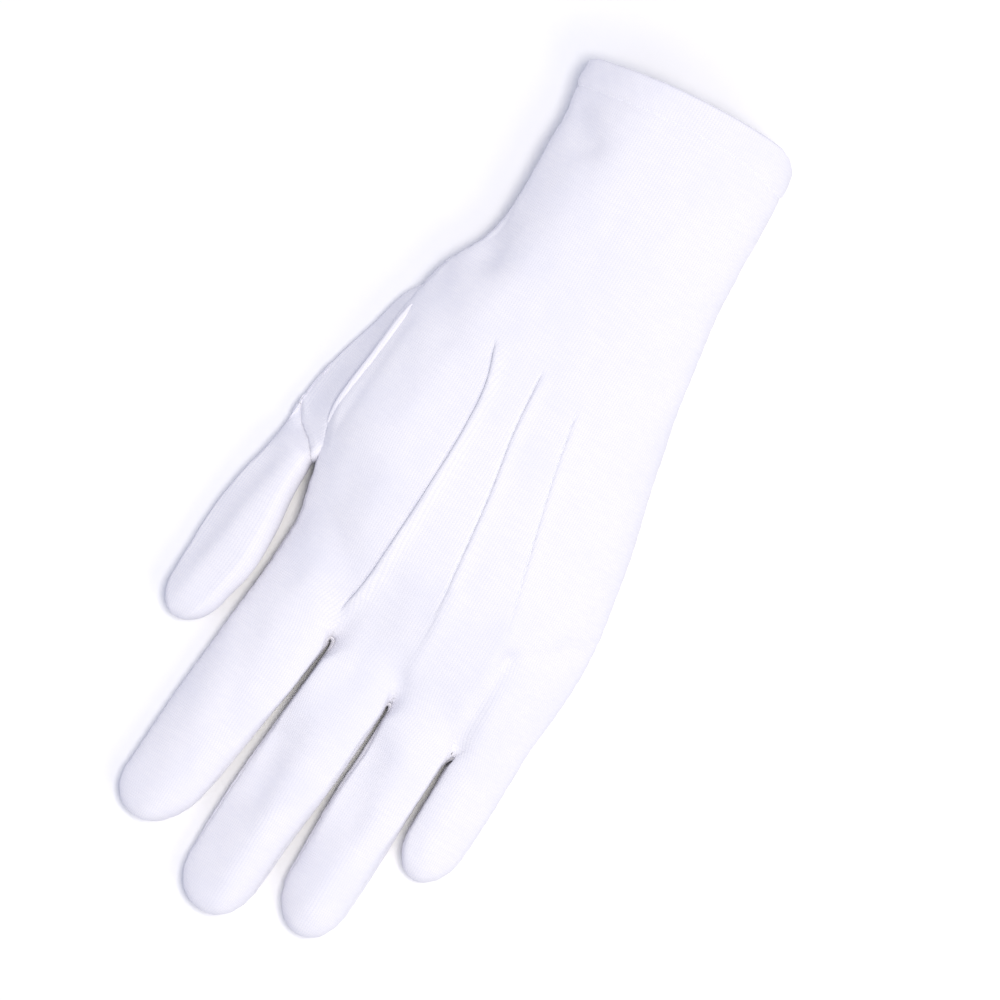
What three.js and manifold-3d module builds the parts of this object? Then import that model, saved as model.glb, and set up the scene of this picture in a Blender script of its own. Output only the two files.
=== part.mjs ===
// White cotton dress glove for the left hand, lying palm down, in millimetres with +Z up.
// Its own frame while it is made: x runs from the thumb to the little finger, the fingers point
// along -y, y is 0 at the middle of the cuff's hem, and z is 0 where the palm rests.
import * as THREE from "three";
import { mergeVertices } from "three/addons/utils/BufferGeometryUtils.js";
import Module from "manifold-3d";

const wasm = await Module();
wasm.setup();

// Cloth
const CLOTH = 1.2; // wall of the cloth
const HEM_WIDTH = 8; // turned-in hem at the mouth
const GAP = 0.3; // clearance between pieces
const ROUNDNESS = 2.3; // exponent of the sections: 2 is an ellipse

// Facets
const HAND_SIDES = 28;
const DIGIT_SIDES = 14;
const TIP_STEPS = 4; // sections in a rounded tip

// Wrist slit
const LAP_LIFT = 4.2; // how far the underlap lies inside the flap
const LAP_FULL_Y = -20; // the lift is whole on the hem side of this
const LAP_NONE_Y = -45; // and gone on the finger side of this
const LAP_HIDDEN_X = -9; // the underlap's edge under the flap
const VENT = { x: 10.7, y: -42, halfWidth: 7.3, halfLength: 12.2 };

// Snap fastener
const SNAP = { x: 2, y: -15.5 };
const CAP_RADIUS = 7;
const CAP_HEIGHT = 2.7;
const SHANK_RADIUS = 1.4;
const SOCKET_RADIUS = 5;
const SOCKET_HEIGHT = 1.6;
const STUD_RADIUS = 4.4;
const STUD_BALL_RADIUS = 2.2;
const SNAP_SIDES = 28;

// Fourchettes, the strips between the fingers
const FOURCHETTE_LOW = 3.4;
const FOURCHETTE_HIGH = 9.6;
const FOURCHETTE_SHORT = 9; // they end this far from the fingertip

// The web line between the fingers slants: each mm across takes the knuckle end this far along.
const WEB_SLANT = 0.267;
const WEB_SLANT_X = -9.5;

// Sections of the cuff and hand, from beyond the hem to the webs of the fingers.
const HAND = [
  { y: 14, left: -32.0, right: 31.6, low: 3, high: 30.5, slant: 0 },
  { y: -8, left: -31.4, right: 32.4, low: 3, high: 30, slant: 0 },
  { y: -20, left: -29.4, right: 32.8, low: 3, high: 29.5, slant: 0 },
  { y: -27, left: -28.9, right: 33.1, low: 3, high: 29, slant: 0 },
  { y: -45, left: -28.7, right: 34.6, low: 3, high: 28, slant: 0 },
  { y: -57, left: -31.4, right: 36.4, low: 2.8, high: 27.5, slant: 0 },
  { y: -66, left: -36.0, right: 37.9, low: 0, high: 27, slant: 0 },
  { y: -79, left: -39.2, right: 40.6, low: -3, high: 27, slant: 0 },
  { y: -97, left: -41.2, right: 44.5, low: -4, high: 27.5, slant: 0 },
  { y: -117, left: -43.4, right: 49.3, low: -4, high: 27, slant: 0 },
  { y: -125, left: -41.8, right: 51.2, low: -4, high: 26.5, slant: 0.05 },
  { y: -132, left: -37.6, right: 52.6, low: -4, high: 25.5, slant: 0.1 },
  { y: -142, left: -35.4, right: 52.8, low: -4, high: 23.5, slant: 0.17 },
  { y: -152, left: -33.6, right: 51.7, low: -3.5, high: 20, slant: 0.24 },
  { y: -162, left: -32.9, right: 50.6, low: -2.5, high: 16, slant: WEB_SLANT },
  { y: -169.5, left: -30.0, right: 47.5, low: 1.5, high: 11.5, slant: WEB_SLANT },
];

// Sections of the digits, from inside the hand to the start of the rounded tip.
const DIGITS = {
  index: {
    tip: { y: -239.1, center: -31.6 },
    rows: [
      { y: -148, center: -21.4, half: 12.2, low: -2.5, high: 19 },
      { y: -169, center: -22.8, half: 12.9, low: -2, high: 15.5 },
      { y: -185, center: -25.0, half: 12.5, low: -2, high: 15.2 },
      { y: -205, center: -27.2, half: 12.0, low: -2, high: 15.2 },
      { y: -226, center: -29.4, half: 10.9, low: -2, high: 14.4 },
    ],
  },
  middle: {
    tip: { y: -252.1, center: -3.6 },
    rows: [
      { y: -148, center: 1.5, half: 11.8, low: -2.5, high: 20 },
      { y: -169, center: 1.3, half: 11.2, low: -2, high: 16 },
      { y: -185, center: 0.7, half: 10.9, low: -2, high: 15.4 },
      { y: -205, center: -1.0, half: 11.2, low: -2, high: 15.2 },
      { y: -225, center: -2.5, half: 10.9, low: -2, high: 15 },
      { y: -239, center: -3.3, half: 10.6, low: -2, high: 14.4 },
    ],
  },
  ring: {
    tip: { y: -243.9, center: 22.8 },
    rows: [
      { y: -148, center: 23.4, half: 11.4, low: -2.5, high: 20 },
      { y: -169, center: 23.2, half: 11.0, low: -2, high: 16 },
      { y: -178, center: 23.1, half: 10.6, low: -2, high: 15 },
      { y: -190, center: 22.7, half: 10.2, low: -2, high: 14.6 },
      { y: -212, center: 22.0, half: 10.3, low: -2, high: 14.6 },
      { y: -230, center: 21.8, half: 9.8, low: -2, high: 13.8 },
    ],
  },
  little: {
    tip: { y: -215, center: 42 },
    rows: [
      { y: -140, center: 42.0, half: 10.4, low: -2.5, high: 20 },
      { y: -160, center: 42.0, half: 9.7, low: -2, high: 16 },
      { y: -180, center: 42.5, half: 9.0, low: -2, high: 13.6 },
      { y: -192, center: 42.6, half: 8.7, low: -2, high: 13.4 },
      { y: -203, center: 42.2, half: 8.4, low: -2, high: 12.8 },
    ],
  },
  thumb: {
    tip: { y: -187.1, center: -49.5 },
    rows: [
      { y: -66, center: -26.0, half: 4.0, low: 4, high: 12 },
      { y: -79, center: -33.5, half: 7.0, low: 0, high: 13 },
      { y: -91, center: -37.0, half: 7.3, low: -2, high: 13.5 },
      { y: -104, center: -39.2, half: 9.0, low: -2, high: 14.5 },
      { y: -117, center: -41.2, half: 9.2, low: -2, high: 15.5 },
      { y: -128, center: -42.5, half: 8.6, low: -2, high: 16 },
      { y: -141, center: -45.3, half: 8.3, low: -2, high: 16 },
      { y: -153, center: -46.9, half: 9.0, low: -2, high: 16 },
      { y: -166, center: -47.7, half: 8.7, low: -2, high: 15.5 },
      { y: -176, center: -48.3, half: 8.0, low: -2, high: 14.8 },
    ],
  },
};
const FINGERS = ["index", "middle", "ring", "little"];
const THUMB_JOIN_Y = -126; // the thumb's tube meets its gusset here

// The side seam between back and palm runs at these heights.
const SEAM = [
  { y: 20, z: 15 },
  { y: -60, z: 14 },
  { y: -85, z: 12.5 },
  { y: -130, z: 12 },
  { y: -165, z: 6.5 },
  { y: -260, z: 6.5 },
];

// The hem's edge seen from above, from the thumb side to the other.
const HEM_EDGE = [
  { x: -60, y: -12 },
  { x: -33, y: -7 },
  { x: -31.5, y: -1.8 },
  { x: -29, y: -0.2 },
  { x: -20, y: 1.4 },
  { x: -10, y: 2.9 },
  { x: 0, y: 3.9 },
  { x: 11.4, y: 4.5 },
  { x: 25.7, y: 4.1 },
  { x: 29.3, y: 2.9 },
  { x: 31.4, y: 0.7 },
  { x: 33, y: -6 },
  { x: 60, y: -12 },
];
// The line where the turned-in cloth ends, on the same sides.
const HEM_LINE = [
  { x: -60, y: -8.3 - HEM_WIDTH / 4 },
  { x: -25, y: 0.5 - HEM_WIDTH },
  { x: -10, y: 2.9 - HEM_WIDTH },
  { x: 11.4, y: 4.5 - HEM_WIDTH },
  { x: 30, y: 1.6 - HEM_WIDTH },
  { x: 60, y: 0.5 - HEM_WIDTH },
];

// The flap's free edge on the palm side, from the hem to the slit's rounded opening.
const FLAP_EDGE = [
  { x: 0, y: 20 },
  { x: 3, y: 1 },
  { x: 8, y: -6 },
  { x: 10.5, y: -12 },
  { x: 11.3, y: -18 },
  { x: 11, y: -23 },
  { x: 9, y: -29 },
  { x: 8, y: -34 },
];

// Path of the rolled rim round the little-finger side of the opening.
const BINDING = { width: 3.4, height: 3.2, startDeg: 100, endDeg: -75, steps: 14 };

// The three raised points on the back: a steep side towards the thumb and a soft one away from it.
const POINT_LINES = [
  [
    { x: -13.6, y: -78.6 },
    { x: -10.2, y: -88 },
    { x: -8.5, y: -104 },
    { x: -8.6, y: -118 },
    { x: -9.3, y: -138 },
    { x: -10.4, y: -154 },
    { x: -12.5, y: -165 },
  ],
  [
    { x: 1.8, y: -79 },
    { x: 3.6, y: -98 },
    { x: 6.4, y: -114 },
    { x: 9.3, y: -137 },
    { x: 11, y: -152 },
    { x: 12, y: -168 },
  ],
  [
    { x: 15, y: -83 },
    { x: 18.6, y: -101 },
    { x: 21.8, y: -114 },
    { x: 25.7, y: -129 },
    { x: 30, y: -145 },
    { x: 32.6, y: -158 },
  ],
];
const POINT_PROFILE = [
  { across: -0.4, up: -0.8 },
  { across: 3.0, up: -0.8 },
  { across: 3.0, up: 0.1 },
  { across: 1.6, up: 1.1 },
  { across: 0.4, up: 1.4 },
  { across: -0.4, up: 0.9 },
];
const POINT_STEPS = 12;

const FAR = 300; // half the size of the blocks that trim

// A closed three.js geometry as a solid that can be cut.
function solidFrom(geometry) {
  const bare = new THREE.BufferGeometry();
  bare.setAttribute("position", geometry.getAttribute("position"));
  bare.setIndex(geometry.getIndex());
  const merged = mergeVertices(bare, 1e-4);
  const corners = merged.getIndex().array;
  const triVerts = [];
  for (let i = 0; i < corners.length; i += 3) {
    const [a, b, c] = [corners[i], corners[i + 1], corners[i + 2]];
    if (a !== b && b !== c && c !== a) {
      triVerts.push(a, b, c);
    }
  }
  const vertProperties = new Float32Array(merged.getAttribute("position").array);
  return new wasm.Manifold(
    new wasm.Mesh({ numProp: 3, vertProperties, triVerts: new Uint32Array(triVerts) }),
  );
}

// A solid as a three.js geometry.
function geometryFrom(solid) {
  const mesh = solid.getMesh();
  const geometry = new THREE.BufferGeometry();
  geometry.setAttribute("position", new THREE.BufferAttribute(mesh.vertProperties, 3));
  geometry.setIndex(new THREE.BufferAttribute(mesh.triVerts, 1));
  geometry.computeVertexNormals();
  return geometry;
}

function joined(solids) {
  return solids.reduce((whole, next) => whole.add(next));
}

// The main body of a cut solid, without the slivers that a cut leaves beside it.
function mainBody(solid) {
  return solid.decompose().reduce((best, next) => (next.volume() > best.volume() ? next : best));
}

// One rounded section as a ring of points; slide moves a point along y by its x.
function ring(y, center, half, low, high, sides, slide = () => 0) {
  const points = [];
  const middle = (low + high) / 2;
  const reach = (high - low) / 2;
  for (let i = 0; i < sides; i += 1) {
    const turn = (2 * Math.PI * i) / sides;
    const across = Math.sign(Math.cos(turn)) * Math.abs(Math.cos(turn)) ** (2 / ROUNDNESS);
    const up = Math.sign(Math.sin(turn)) * Math.abs(Math.sin(turn)) ** (2 / ROUNDNESS);
    const x = center + half * across;
    points.push(new THREE.Vector3(x, y + slide(x), middle + reach * up));
  }
  return points;
}

// A closed body through rings of the same number of points, each with a point in its middle at the ends.
function loft(rings, firstPoint, lastPoint) {
  const sides = rings[0].length;
  const points = [...rings.flat(), firstPoint, lastPoint];
  const faces = [];
  for (let r = 0; r + 1 < rings.length; r += 1) {
    for (let i = 0; i < sides; i += 1) {
      const next = (i + 1) % sides;
      const [a, b] = [r * sides + i, r * sides + next];
      faces.push(a, b, a + sides, b, b + sides, a + sides);
    }
  }
  const last = (rings.length - 1) * sides;
  for (let i = 0; i < sides; i += 1) {
    const next = (i + 1) % sides;
    faces.push(points.length - 2, next, i);
    faces.push(points.length - 1, last + i, last + next);
  }
  const geometry = new THREE.BufferGeometry().setFromPoints(points);
  geometry.setIndex(faces);
  return geometry;
}

function middleOf(points) {
  const sum = points.reduce((total, point) => total.add(point), new THREE.Vector3());
  return sum.divideScalar(points.length);
}

// How far the underlap's cloth is pushed in at y.
function lapLift(y) {
  return LAP_LIFT * THREE.MathUtils.smoothstep(y, LAP_NONE_Y, LAP_FULL_Y);
}

// The cuff and hand without fingers, inset from its outside; lifted gives the underlap's form.
function handBody(inset, lifted = false) {
  const rings = HAND.map((row) => {
    const y = row === HAND.at(-1) ? row.y + inset : row.y;
    const low = row.low + inset + (lifted ? lapLift(y) : 0);
    const center = (row.left + row.right) / 2;
    const half = (row.right - row.left) / 2 - inset;
    const slide = (x) => -row.slant * (x - WEB_SLANT_X);
    return ring(y, center, half, low, row.high - inset, HAND_SIDES, slide);
  });
  return solidFrom(loft(rings, middleOf(rings[0]), middleOf(rings.at(-1))));
}

// A finger or the thumb, inset from its outside, with a round tip beyond its last row.
function digitBody(name, inset) {
  const { rows, tip } = DIGITS[name];
  const bend = rows.at(-1);
  const section = (row, y, center, scale) => {
    const middle = (row.low + row.high) / 2;
    const reach = ((row.high - row.low) / 2 - inset) * scale;
    const half = (row.half - inset) * scale;
    return ring(y, center, half, middle - reach, middle + reach, DIGIT_SIDES);
  };
  const rings = rows.map((row) => section(row, row.y, row.center, 1));
  for (let i = 1; i <= TIP_STEPS; i += 1) {
    const turn = (Math.PI / 2) * (i / (TIP_STEPS + 0.6));
    const y = THREE.MathUtils.lerp(bend.y, tip.y + inset, Math.sin(turn));
    const center = THREE.MathUtils.lerp(bend.center, tip.center, Math.sin(turn));
    rings.push(section(bend, y, center, Math.cos(turn)));
  }
  const end = middleOf(rings.at(-1));
  end.y = tip.y + inset;
  return solidFrom(loft(rings, middleOf(rings[0]), end));
}

// A straight-sided block over a plan outline, between two heights.
function prism(outline, low, high) {
  const shape = new THREE.Shape(outline.map((point) => new THREE.Vector2(point.x, point.y)));
  const geometry = new THREE.ExtrudeGeometry(shape, { depth: high - low, bevelEnabled: false });
  return solidFrom(geometry.translate(0, 0, low));
}

// Everything under a height.
function blockBelow(z) {
  return solidFrom(new THREE.BoxGeometry(2 * FAR, 2 * FAR, FAR).translate(0, 0, z - FAR / 2));
}

// Everything under the side seam, moved up by lift.
function belowSeam(lift) {
  const shape = new THREE.Shape([
    new THREE.Vector2(-SEAM[0].y, -FAR),
    ...[...SEAM].map((row) => new THREE.Vector2(-row.y, row.z + lift)),
    new THREE.Vector2(-SEAM.at(-1).y, -FAR),
  ].reverse());
  const geometry = new THREE.ExtrudeGeometry(shape, { depth: 2 * FAR, bevelEnabled: false });
  geometry.translate(0, 0, -FAR);
  geometry.applyMatrix4(
    new THREE.Matrix4().makeBasis(
      new THREE.Vector3(0, -1, 0),
      new THREE.Vector3(0, 0, 1),
      new THREE.Vector3(-1, 0, 0),
    ),
  );
  return solidFrom(geometry);
}

// Everything towards the wrist from a line across the cuff.
function beyond(line) {
  return prism([...line, { x: line.at(-1).x, y: FAR }, { x: line[0].x, y: FAR }], -FAR, FAR);
}

// The opening of the slit in plan, grown by some amount.
function ventOutline(grow) {
  const curve = new THREE.EllipseCurve(
    VENT.x, VENT.y, VENT.halfWidth + grow, VENT.halfLength + grow, 0, 2 * Math.PI,
  );
  return curve.getPoints(24).slice(0, -1);
}

// Height of a solid's surface over a point of the plan, seen from above or from below.
function heightOn(solid, x, y, fromBelow = false) {
  const mesh = new THREE.Mesh(geometryFrom(solid));
  const [start, aim] = fromBelow ? [-FAR, 1] : [FAR, -1];
  const ray = new THREE.Raycaster(new THREE.Vector3(x, y, start), new THREE.Vector3(0, 0, aim));
  return ray.intersectObject(mesh)[0].point.z;
}

// A profile carried along a path, across it and upright.
function sweep(path, profile) {
  const rings = path.map((point, i) => {
    const before = path[Math.max(i - 1, 0)];
    const after = path[Math.min(i + 1, path.length - 1)];
    const along = new THREE.Vector2(after.x - before.x, after.y - before.y).normalize();
    return profile.map(
      ({ across, up }) =>
        new THREE.Vector3(point.x - along.y * across, point.y + along.x * across, point.z + up),
    );
  });
  return solidFrom(loft(rings, middleOf(rings[0]), middleOf(rings.at(-1))));
}

// A turned piece: its profile runs from the axis at the bottom to the axis at the top.
function turned(profile, bottom) {
  const points = profile.map(({ r, z }) => new THREE.Vector2(r, z));
  const geometry = new THREE.LatheGeometry(points, SNAP_SIDES);
  geometry.rotateX(Math.PI / 2);
  return solidFrom(geometry.translate(SNAP.x, SNAP.y, bottom));
}

// The whole outside of the hand with its fingers, resting on z = 0.
function handOutside(grow = 0) {
  const bodies = [handBody(-grow), ...FINGERS.map((name) => digitBody(name, -grow))];
  return joined(bodies).subtract(blockBelow(-grow));
}

// The hollow of a body with its hem: the cloth is double between the hem's line and the mouth.
function hollowWithHem(lifted) {
  const plain = handBody(CLOTH, lifted).subtract(beyond(HEM_LINE));
  return plain.add(handBody(2 * CLOTH, lifted));
}

function fingerHollows() {
  return joined(FINGERS.map((name) => digitBody(name, CLOTH)));
}

function thumbSolid(inset) {
  return digitBody("thumb", inset).subtract(blockBelow(Math.max(inset, 0)));
}

// The underlap's cloth, which steps in under the flap.
function underlap() {
  const outside = handBody(0, true).subtract(hollowWithHem(true)).subtract(blockBelow(0));
  const plan = [
    { x: LAP_HIDDEN_X, y: 20 },
    { x: LAP_HIDDEN_X, y: -22 },
    { x: -5, y: -27 },
    { x: VENT.x, y: VENT.y + 8 },
    { x: VENT.x, y: LAP_NONE_Y - 3 },
    { x: 60, y: LAP_NONE_Y - 3 },
    { x: 60, y: 20 },
  ];
  return outside.intersect(prism(plan, -FAR, FAR));
}

// The zone in plan that a fourchette fills, between the centre lines of two fingers.
function fourchetteZone(nameA, nameB, grow) {
  const [a, b] = [DIGITS[nameA], DIGITS[nameB]];
  const ends = [a, b].map(({ tip }) => ({ x: tip.center, y: tip.y + FOURCHETTE_SHORT - grow }));
  const roots = [a, b].map(({ rows }) => ({ x: rows[1].center, y: rows[1].y + 8 + grow }));
  const outline = [roots[0], ends[0], ends[1], roots[1]];
  return prism(outline, FOURCHETTE_LOW - grow, FOURCHETTE_HIGH + grow);
}

// The three raised points, standing on the back.
function raisedPoints(outside) {
  return POINT_LINES.map((line) => {
    const curve = new THREE.CatmullRomCurve3(line.map(({ x, y }) => new THREE.Vector3(x, y, 0)));
    const path = curve.getSpacedPoints(POINT_STEPS).map((point) => {
      const z = heightOn(outside, point.x, point.y);
      return new THREE.Vector3(point.x, point.y, z);
    });
    return sweep(path, POINT_PROFILE);
  });
}

// The rolled rim, gripping the cloth's edge round the opening.
function ventBinding(cloth) {
  const path = [];
  for (let i = 0; i <= BINDING.steps; i += 1) {
    const share = i / BINDING.steps;
    const turn = THREE.MathUtils.degToRad(
      THREE.MathUtils.lerp(BINDING.startDeg, BINDING.endDeg, share),
    );
    const x = VENT.x + VENT.halfWidth * Math.cos(turn);
    const y = VENT.y + VENT.halfLength * Math.sin(turn);
    const outX = x + Math.cos(turn);
    const outY = y + Math.sin(turn);
    const z = heightOn(cloth, outX, outY, true) + CLOTH / 2;
    path.push(new THREE.Vector3(x, y, z));
  }
  const [w, h] = [BINDING.width / 2, BINDING.height / 2];
  const profile = [
    { across: -w, up: -h / 2 },
    { across: -w / 2, up: -h },
    { across: w / 2, up: -h },
    { across: w, up: -h / 2 },
    { across: w, up: h / 2 },
    { across: w / 2, up: h },
    { across: -w / 2, up: h },
    { across: -w, up: h / 2 },
  ];
  const edge = prism(ventOutline(-GAP), -FAR, FAR);
  const lappedCloth = handBody(-GAP, true).subtract(handBody(CLOTH + GAP, true));
  const flatCloth = handBody(-GAP).subtract(handBody(CLOTH + GAP));
  const grip = lappedCloth.add(flatCloth.intersect(prism([
    { x: -60, y: VENT.y }, { x: 60, y: VENT.y }, { x: 60, y: -80 }, { x: -60, y: -80 },
  ], -FAR, FAR)));
  return mainBody(sweep(path, profile).subtract(grip.subtract(edge)));
}

// Cloth
const handOuter = handOutside();
const thumbHollow = thumbSolid(CLOTH);
const mouth = beyond(HEM_EDGE);
const floorCloth = blockBelow(CLOTH);
const hollow = hollowWithHem(false).add(fingerHollows()).subtract(floorCloth);
const shell = handOuter.subtract(hollow).subtract(thumbHollow).subtract(mouth);

const pairs = FINGERS.slice(1).map((name, i) => [FINGERS[i], name]);
const fourchettes = pairs.map(([a, b]) => mainBody(shell.intersect(fourchetteZone(a, b, 0))));
const fourchetteRoom = joined(pairs.map(([a, b]) => fourchetteZone(a, b, GAP)));

const backPanel = mainBody(
  joined([shell, ...raisedPoints(handOuter)])
    .subtract(belowSeam(GAP / 2))
    .subtract(fourchetteRoom),
);

const lapPlan = [...FLAP_EDGE, { x: VENT.x, y: VENT.y }, { x: VENT.x, y: LAP_NONE_Y - 1 }];
const lapRoom = prism([...lapPlan, { x: 60, y: LAP_NONE_Y - 1 }, { x: 60, y: 20 }], -FAR, FAR);
const lapped = shell.subtract(lapRoom).add(underlap().subtract(mouth));
const snapHole = new THREE.CylinderGeometry(SHANK_RADIUS + GAP, SHANK_RADIUS + GAP, 20, SNAP_SIDES);
snapHole.rotateX(Math.PI / 2);
snapHole.translate(SNAP.x, SNAP.y, CAP_HEIGHT);
const palmPanel = mainBody(
  lapped
    .intersect(belowSeam(-GAP / 2))
    .subtract(prism(ventOutline(0), -FAR, FAR))
    .subtract(solidFrom(snapHole))
    .subtract(fourchetteRoom),
);

const thumbCloth = thumbSolid(0).subtract(thumbHollow).subtract(handOutside(GAP));
const joinAbove = prism(
  [{ x: -90, y: THUMB_JOIN_Y }, { x: 0, y: THUMB_JOIN_Y }, { x: 0, y: 0 }, { x: -90, y: 0 }],
  -FAR, FAR,
);
const gussetCloth = thumbCloth.intersect(joinAbove);
const thumbTube = mainBody(thumbCloth.subtract(joinAbove.translate([0, -GAP, 0])));

// Snap fastener, from the cap that touches the ground up to the stud's back disc
const flapZ = HAND[1].low;
const lapZ = flapZ + LAP_LIFT;
const capProfile = [
  { r: 0, z: 0 },
  { r: 2.2, z: 0.05 },
  { r: 4.2, z: 0.45 },
  { r: 5.8, z: 1.15 },
  { r: 6.7, z: 1.9 },
  { r: CAP_RADIUS, z: CAP_HEIGHT },
  { r: SHANK_RADIUS, z: CAP_HEIGHT },
  { r: SHANK_RADIUS, z: CAP_HEIGHT + CLOTH + 2 * GAP },
  { r: 0, z: CAP_HEIGHT + CLOTH + 2 * GAP },
];
const socketBore = STUD_BALL_RADIUS + GAP;
const socketProfile = [
  { r: socketBore, z: 0 },
  { r: SOCKET_RADIUS, z: 0 },
  { r: SOCKET_RADIUS, z: 0.9 },
  { r: SOCKET_RADIUS - 1, z: SOCKET_HEIGHT },
  { r: socketBore, z: SOCKET_HEIGHT },
  { r: socketBore, z: 0 },
];
const flange = LAP_LIFT - CLOTH - 3 * GAP - SOCKET_HEIGHT;
const neck = SOCKET_HEIGHT - GAP;
const studBack = neck + GAP + flange + CLOTH + 2 * GAP;
const studProfile = [
  { r: 0, z: 0 },
  { r: 1.6, z: 0 },
  { r: STUD_BALL_RADIUS, z: 0.5 },
  { r: STUD_BALL_RADIUS, z: neck + GAP },
  { r: STUD_RADIUS, z: neck + GAP },
  { r: STUD_RADIUS, z: neck + GAP + flange },
  { r: SHANK_RADIUS, z: neck + GAP + flange },
  { r: SHANK_RADIUS, z: studBack },
  { r: STUD_RADIUS, z: studBack },
  { r: STUD_RADIUS - 0.5, z: studBack + 0.8 },
  { r: 0, z: studBack + 0.8 },
];

const cloth = { color: 0xf7f7fb, roughness: 0.9, metalness: 0 };
const coatedMetal = { color: 0xfafafa, roughness: 0.35, metalness: 0 };
const bareMetal = { color: 0xc9cbcd, roughness: 0.3, metalness: 1 };

const pieces = {
  back_panel: [backPanel, cloth],
  palm_panel: [palmPanel, cloth],
  thumb: [thumbTube, cloth],
  thumb_gusset: [mainBody(gussetCloth), cloth],
  fourchette_index_middle: [fourchettes[0], cloth],
  fourchette_middle_ring: [fourchettes[1], cloth],
  fourchette_ring_little: [fourchettes[2], cloth],
  vent_binding: [ventBinding(lapped), cloth],
  snap_cap: [turned(capProfile, 0), coatedMetal],
  snap_socket: [turned(socketProfile, flapZ + CLOTH + GAP), bareMetal],
  snap_stud: [turned(studProfile, lapZ - GAP - flange - GAP - neck), bareMetal],
};

const glove = new THREE.Group();
for (const [name, [solid, look]] of Object.entries(pieces)) {
  const mesh = new THREE.Mesh(geometryFrom(solid), new THREE.MeshStandardMaterial(look));
  mesh.name = name;
  glove.add(mesh);
}

// The part's own origin is under the middle of its outline, on the surface that it rests on.
const box = new THREE.Box3().setFromObject(glove);
glove.position.set(-(box.min.x + box.max.x) / 2, -(box.min.y + box.max.y) / 2, -box.min.z);

export default glove;
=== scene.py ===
import math

import bmesh
import bpy
import numpy as np
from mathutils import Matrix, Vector, noise
from mathutils.bvhtree import BVHTree


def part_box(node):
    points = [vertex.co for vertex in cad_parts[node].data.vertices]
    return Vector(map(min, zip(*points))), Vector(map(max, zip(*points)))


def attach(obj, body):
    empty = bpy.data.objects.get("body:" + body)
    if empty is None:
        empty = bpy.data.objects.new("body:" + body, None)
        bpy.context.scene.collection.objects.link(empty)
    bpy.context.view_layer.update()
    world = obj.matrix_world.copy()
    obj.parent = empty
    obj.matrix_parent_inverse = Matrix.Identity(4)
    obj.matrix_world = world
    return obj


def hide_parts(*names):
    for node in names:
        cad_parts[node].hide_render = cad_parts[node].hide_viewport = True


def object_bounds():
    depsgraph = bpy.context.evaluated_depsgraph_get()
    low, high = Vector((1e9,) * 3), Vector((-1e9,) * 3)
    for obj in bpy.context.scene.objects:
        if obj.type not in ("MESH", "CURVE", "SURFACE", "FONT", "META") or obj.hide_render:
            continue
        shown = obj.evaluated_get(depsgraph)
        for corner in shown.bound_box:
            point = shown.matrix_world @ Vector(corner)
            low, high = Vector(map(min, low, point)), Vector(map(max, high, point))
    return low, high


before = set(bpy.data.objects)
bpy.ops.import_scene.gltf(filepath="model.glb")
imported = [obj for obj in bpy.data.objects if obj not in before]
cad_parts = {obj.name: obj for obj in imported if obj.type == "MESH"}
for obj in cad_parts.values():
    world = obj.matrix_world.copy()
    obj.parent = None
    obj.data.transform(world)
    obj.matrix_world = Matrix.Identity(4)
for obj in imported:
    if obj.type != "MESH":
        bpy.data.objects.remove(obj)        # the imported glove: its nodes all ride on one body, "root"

cadBox = [list(corner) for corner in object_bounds()]
print("frame loaded")

# The glove is shaped in millimetres in its maker's frame: x from the thumb to the little finger,
# the fingers along -y, y = 0 at the middle of the hem, z = 0 where the palm rests.
thumbOutside = -56.4   # the lowest x, on the thumb
longestTip = -252.1    # the lowest y, on the middle finger
toFrame = Vector((cadBox[0][0] * 1000 - thumbOutside, cadBox[0][1] * 1000 - longestTip, 0))

# A user may change the whole glove here.
glove = {
    "voxel": 0.9,   # spacing of the cloth's mesh
    "wall": 0.7,                           # thickness of the knitted cotton
    "roundness": 2.5,                      # 2 makes elliptical sections, more makes them boxier
    "slantX": -9.5,                        # the web line of the fingers slants from here
    "midHeight": 11,                       # parts the palm side from the back at the cuff
    "handStep": 2.5, "handSides": 72,      # spacing of the hand's sections, and points round each
    "fingerStep": 3, "fingerSides": 48, "thumbSides": 64,
    "smoothRounds": 6,                     # smoothing of the fused skin,
    "knuckleRounds": 40, "knuckleY": -160, "knuckleWidth": 14,   # and more where the fingers start
}


# Rows of a table, each as a dictionary with the names of its columns.
def table(columns, rows):
    return [dict(zip(columns.split(), row)) for row in rows]


handRows = table("y left right low high slant", [
    (14, -29.0, 28.6, 3.4, 29.5, 0),
    (4, -30.3, 30.6, 3.1, 30.1, 0),
    (-2, -30.8, 32.0, 3, 30.1, 0),
    (-8, -30.7, 32.4, 3, 30, 0),
    (-20, -29.2, 32.8, 3, 29.5, 0),
    (-27, -28.9, 33.1, 3, 29, 0),
    (-45, -28.7, 34.6, 3, 28, 0),
    (-57, -31.4, 36.4, 2.8, 27.5, 0),
    (-66, -36.0, 37.9, 0, 27, 0),
    (-79, -39.2, 40.6, -3, 27, 0),
    (-97, -41.2, 44.5, -4, 27.5, 0),
    (-117, -43.4, 49.3, -4, 27, 0),
    (-125, -41.8, 51.2, -4, 26.5, 0.05),
    (-132, -39.2, 52.6, -4, 25.5, 0.1),
    (-142, -37.4, 52.8, -4, 23.5, 0.17),
    (-152, -35.6, 51.7, -3.5, 20, 0.24),
    (-162, -34.6, 50.6, -2.5, 16, 0.267),
    (-169.5, -30.0, 47.5, 1.5, 11.5, 0.267),
])

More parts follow.
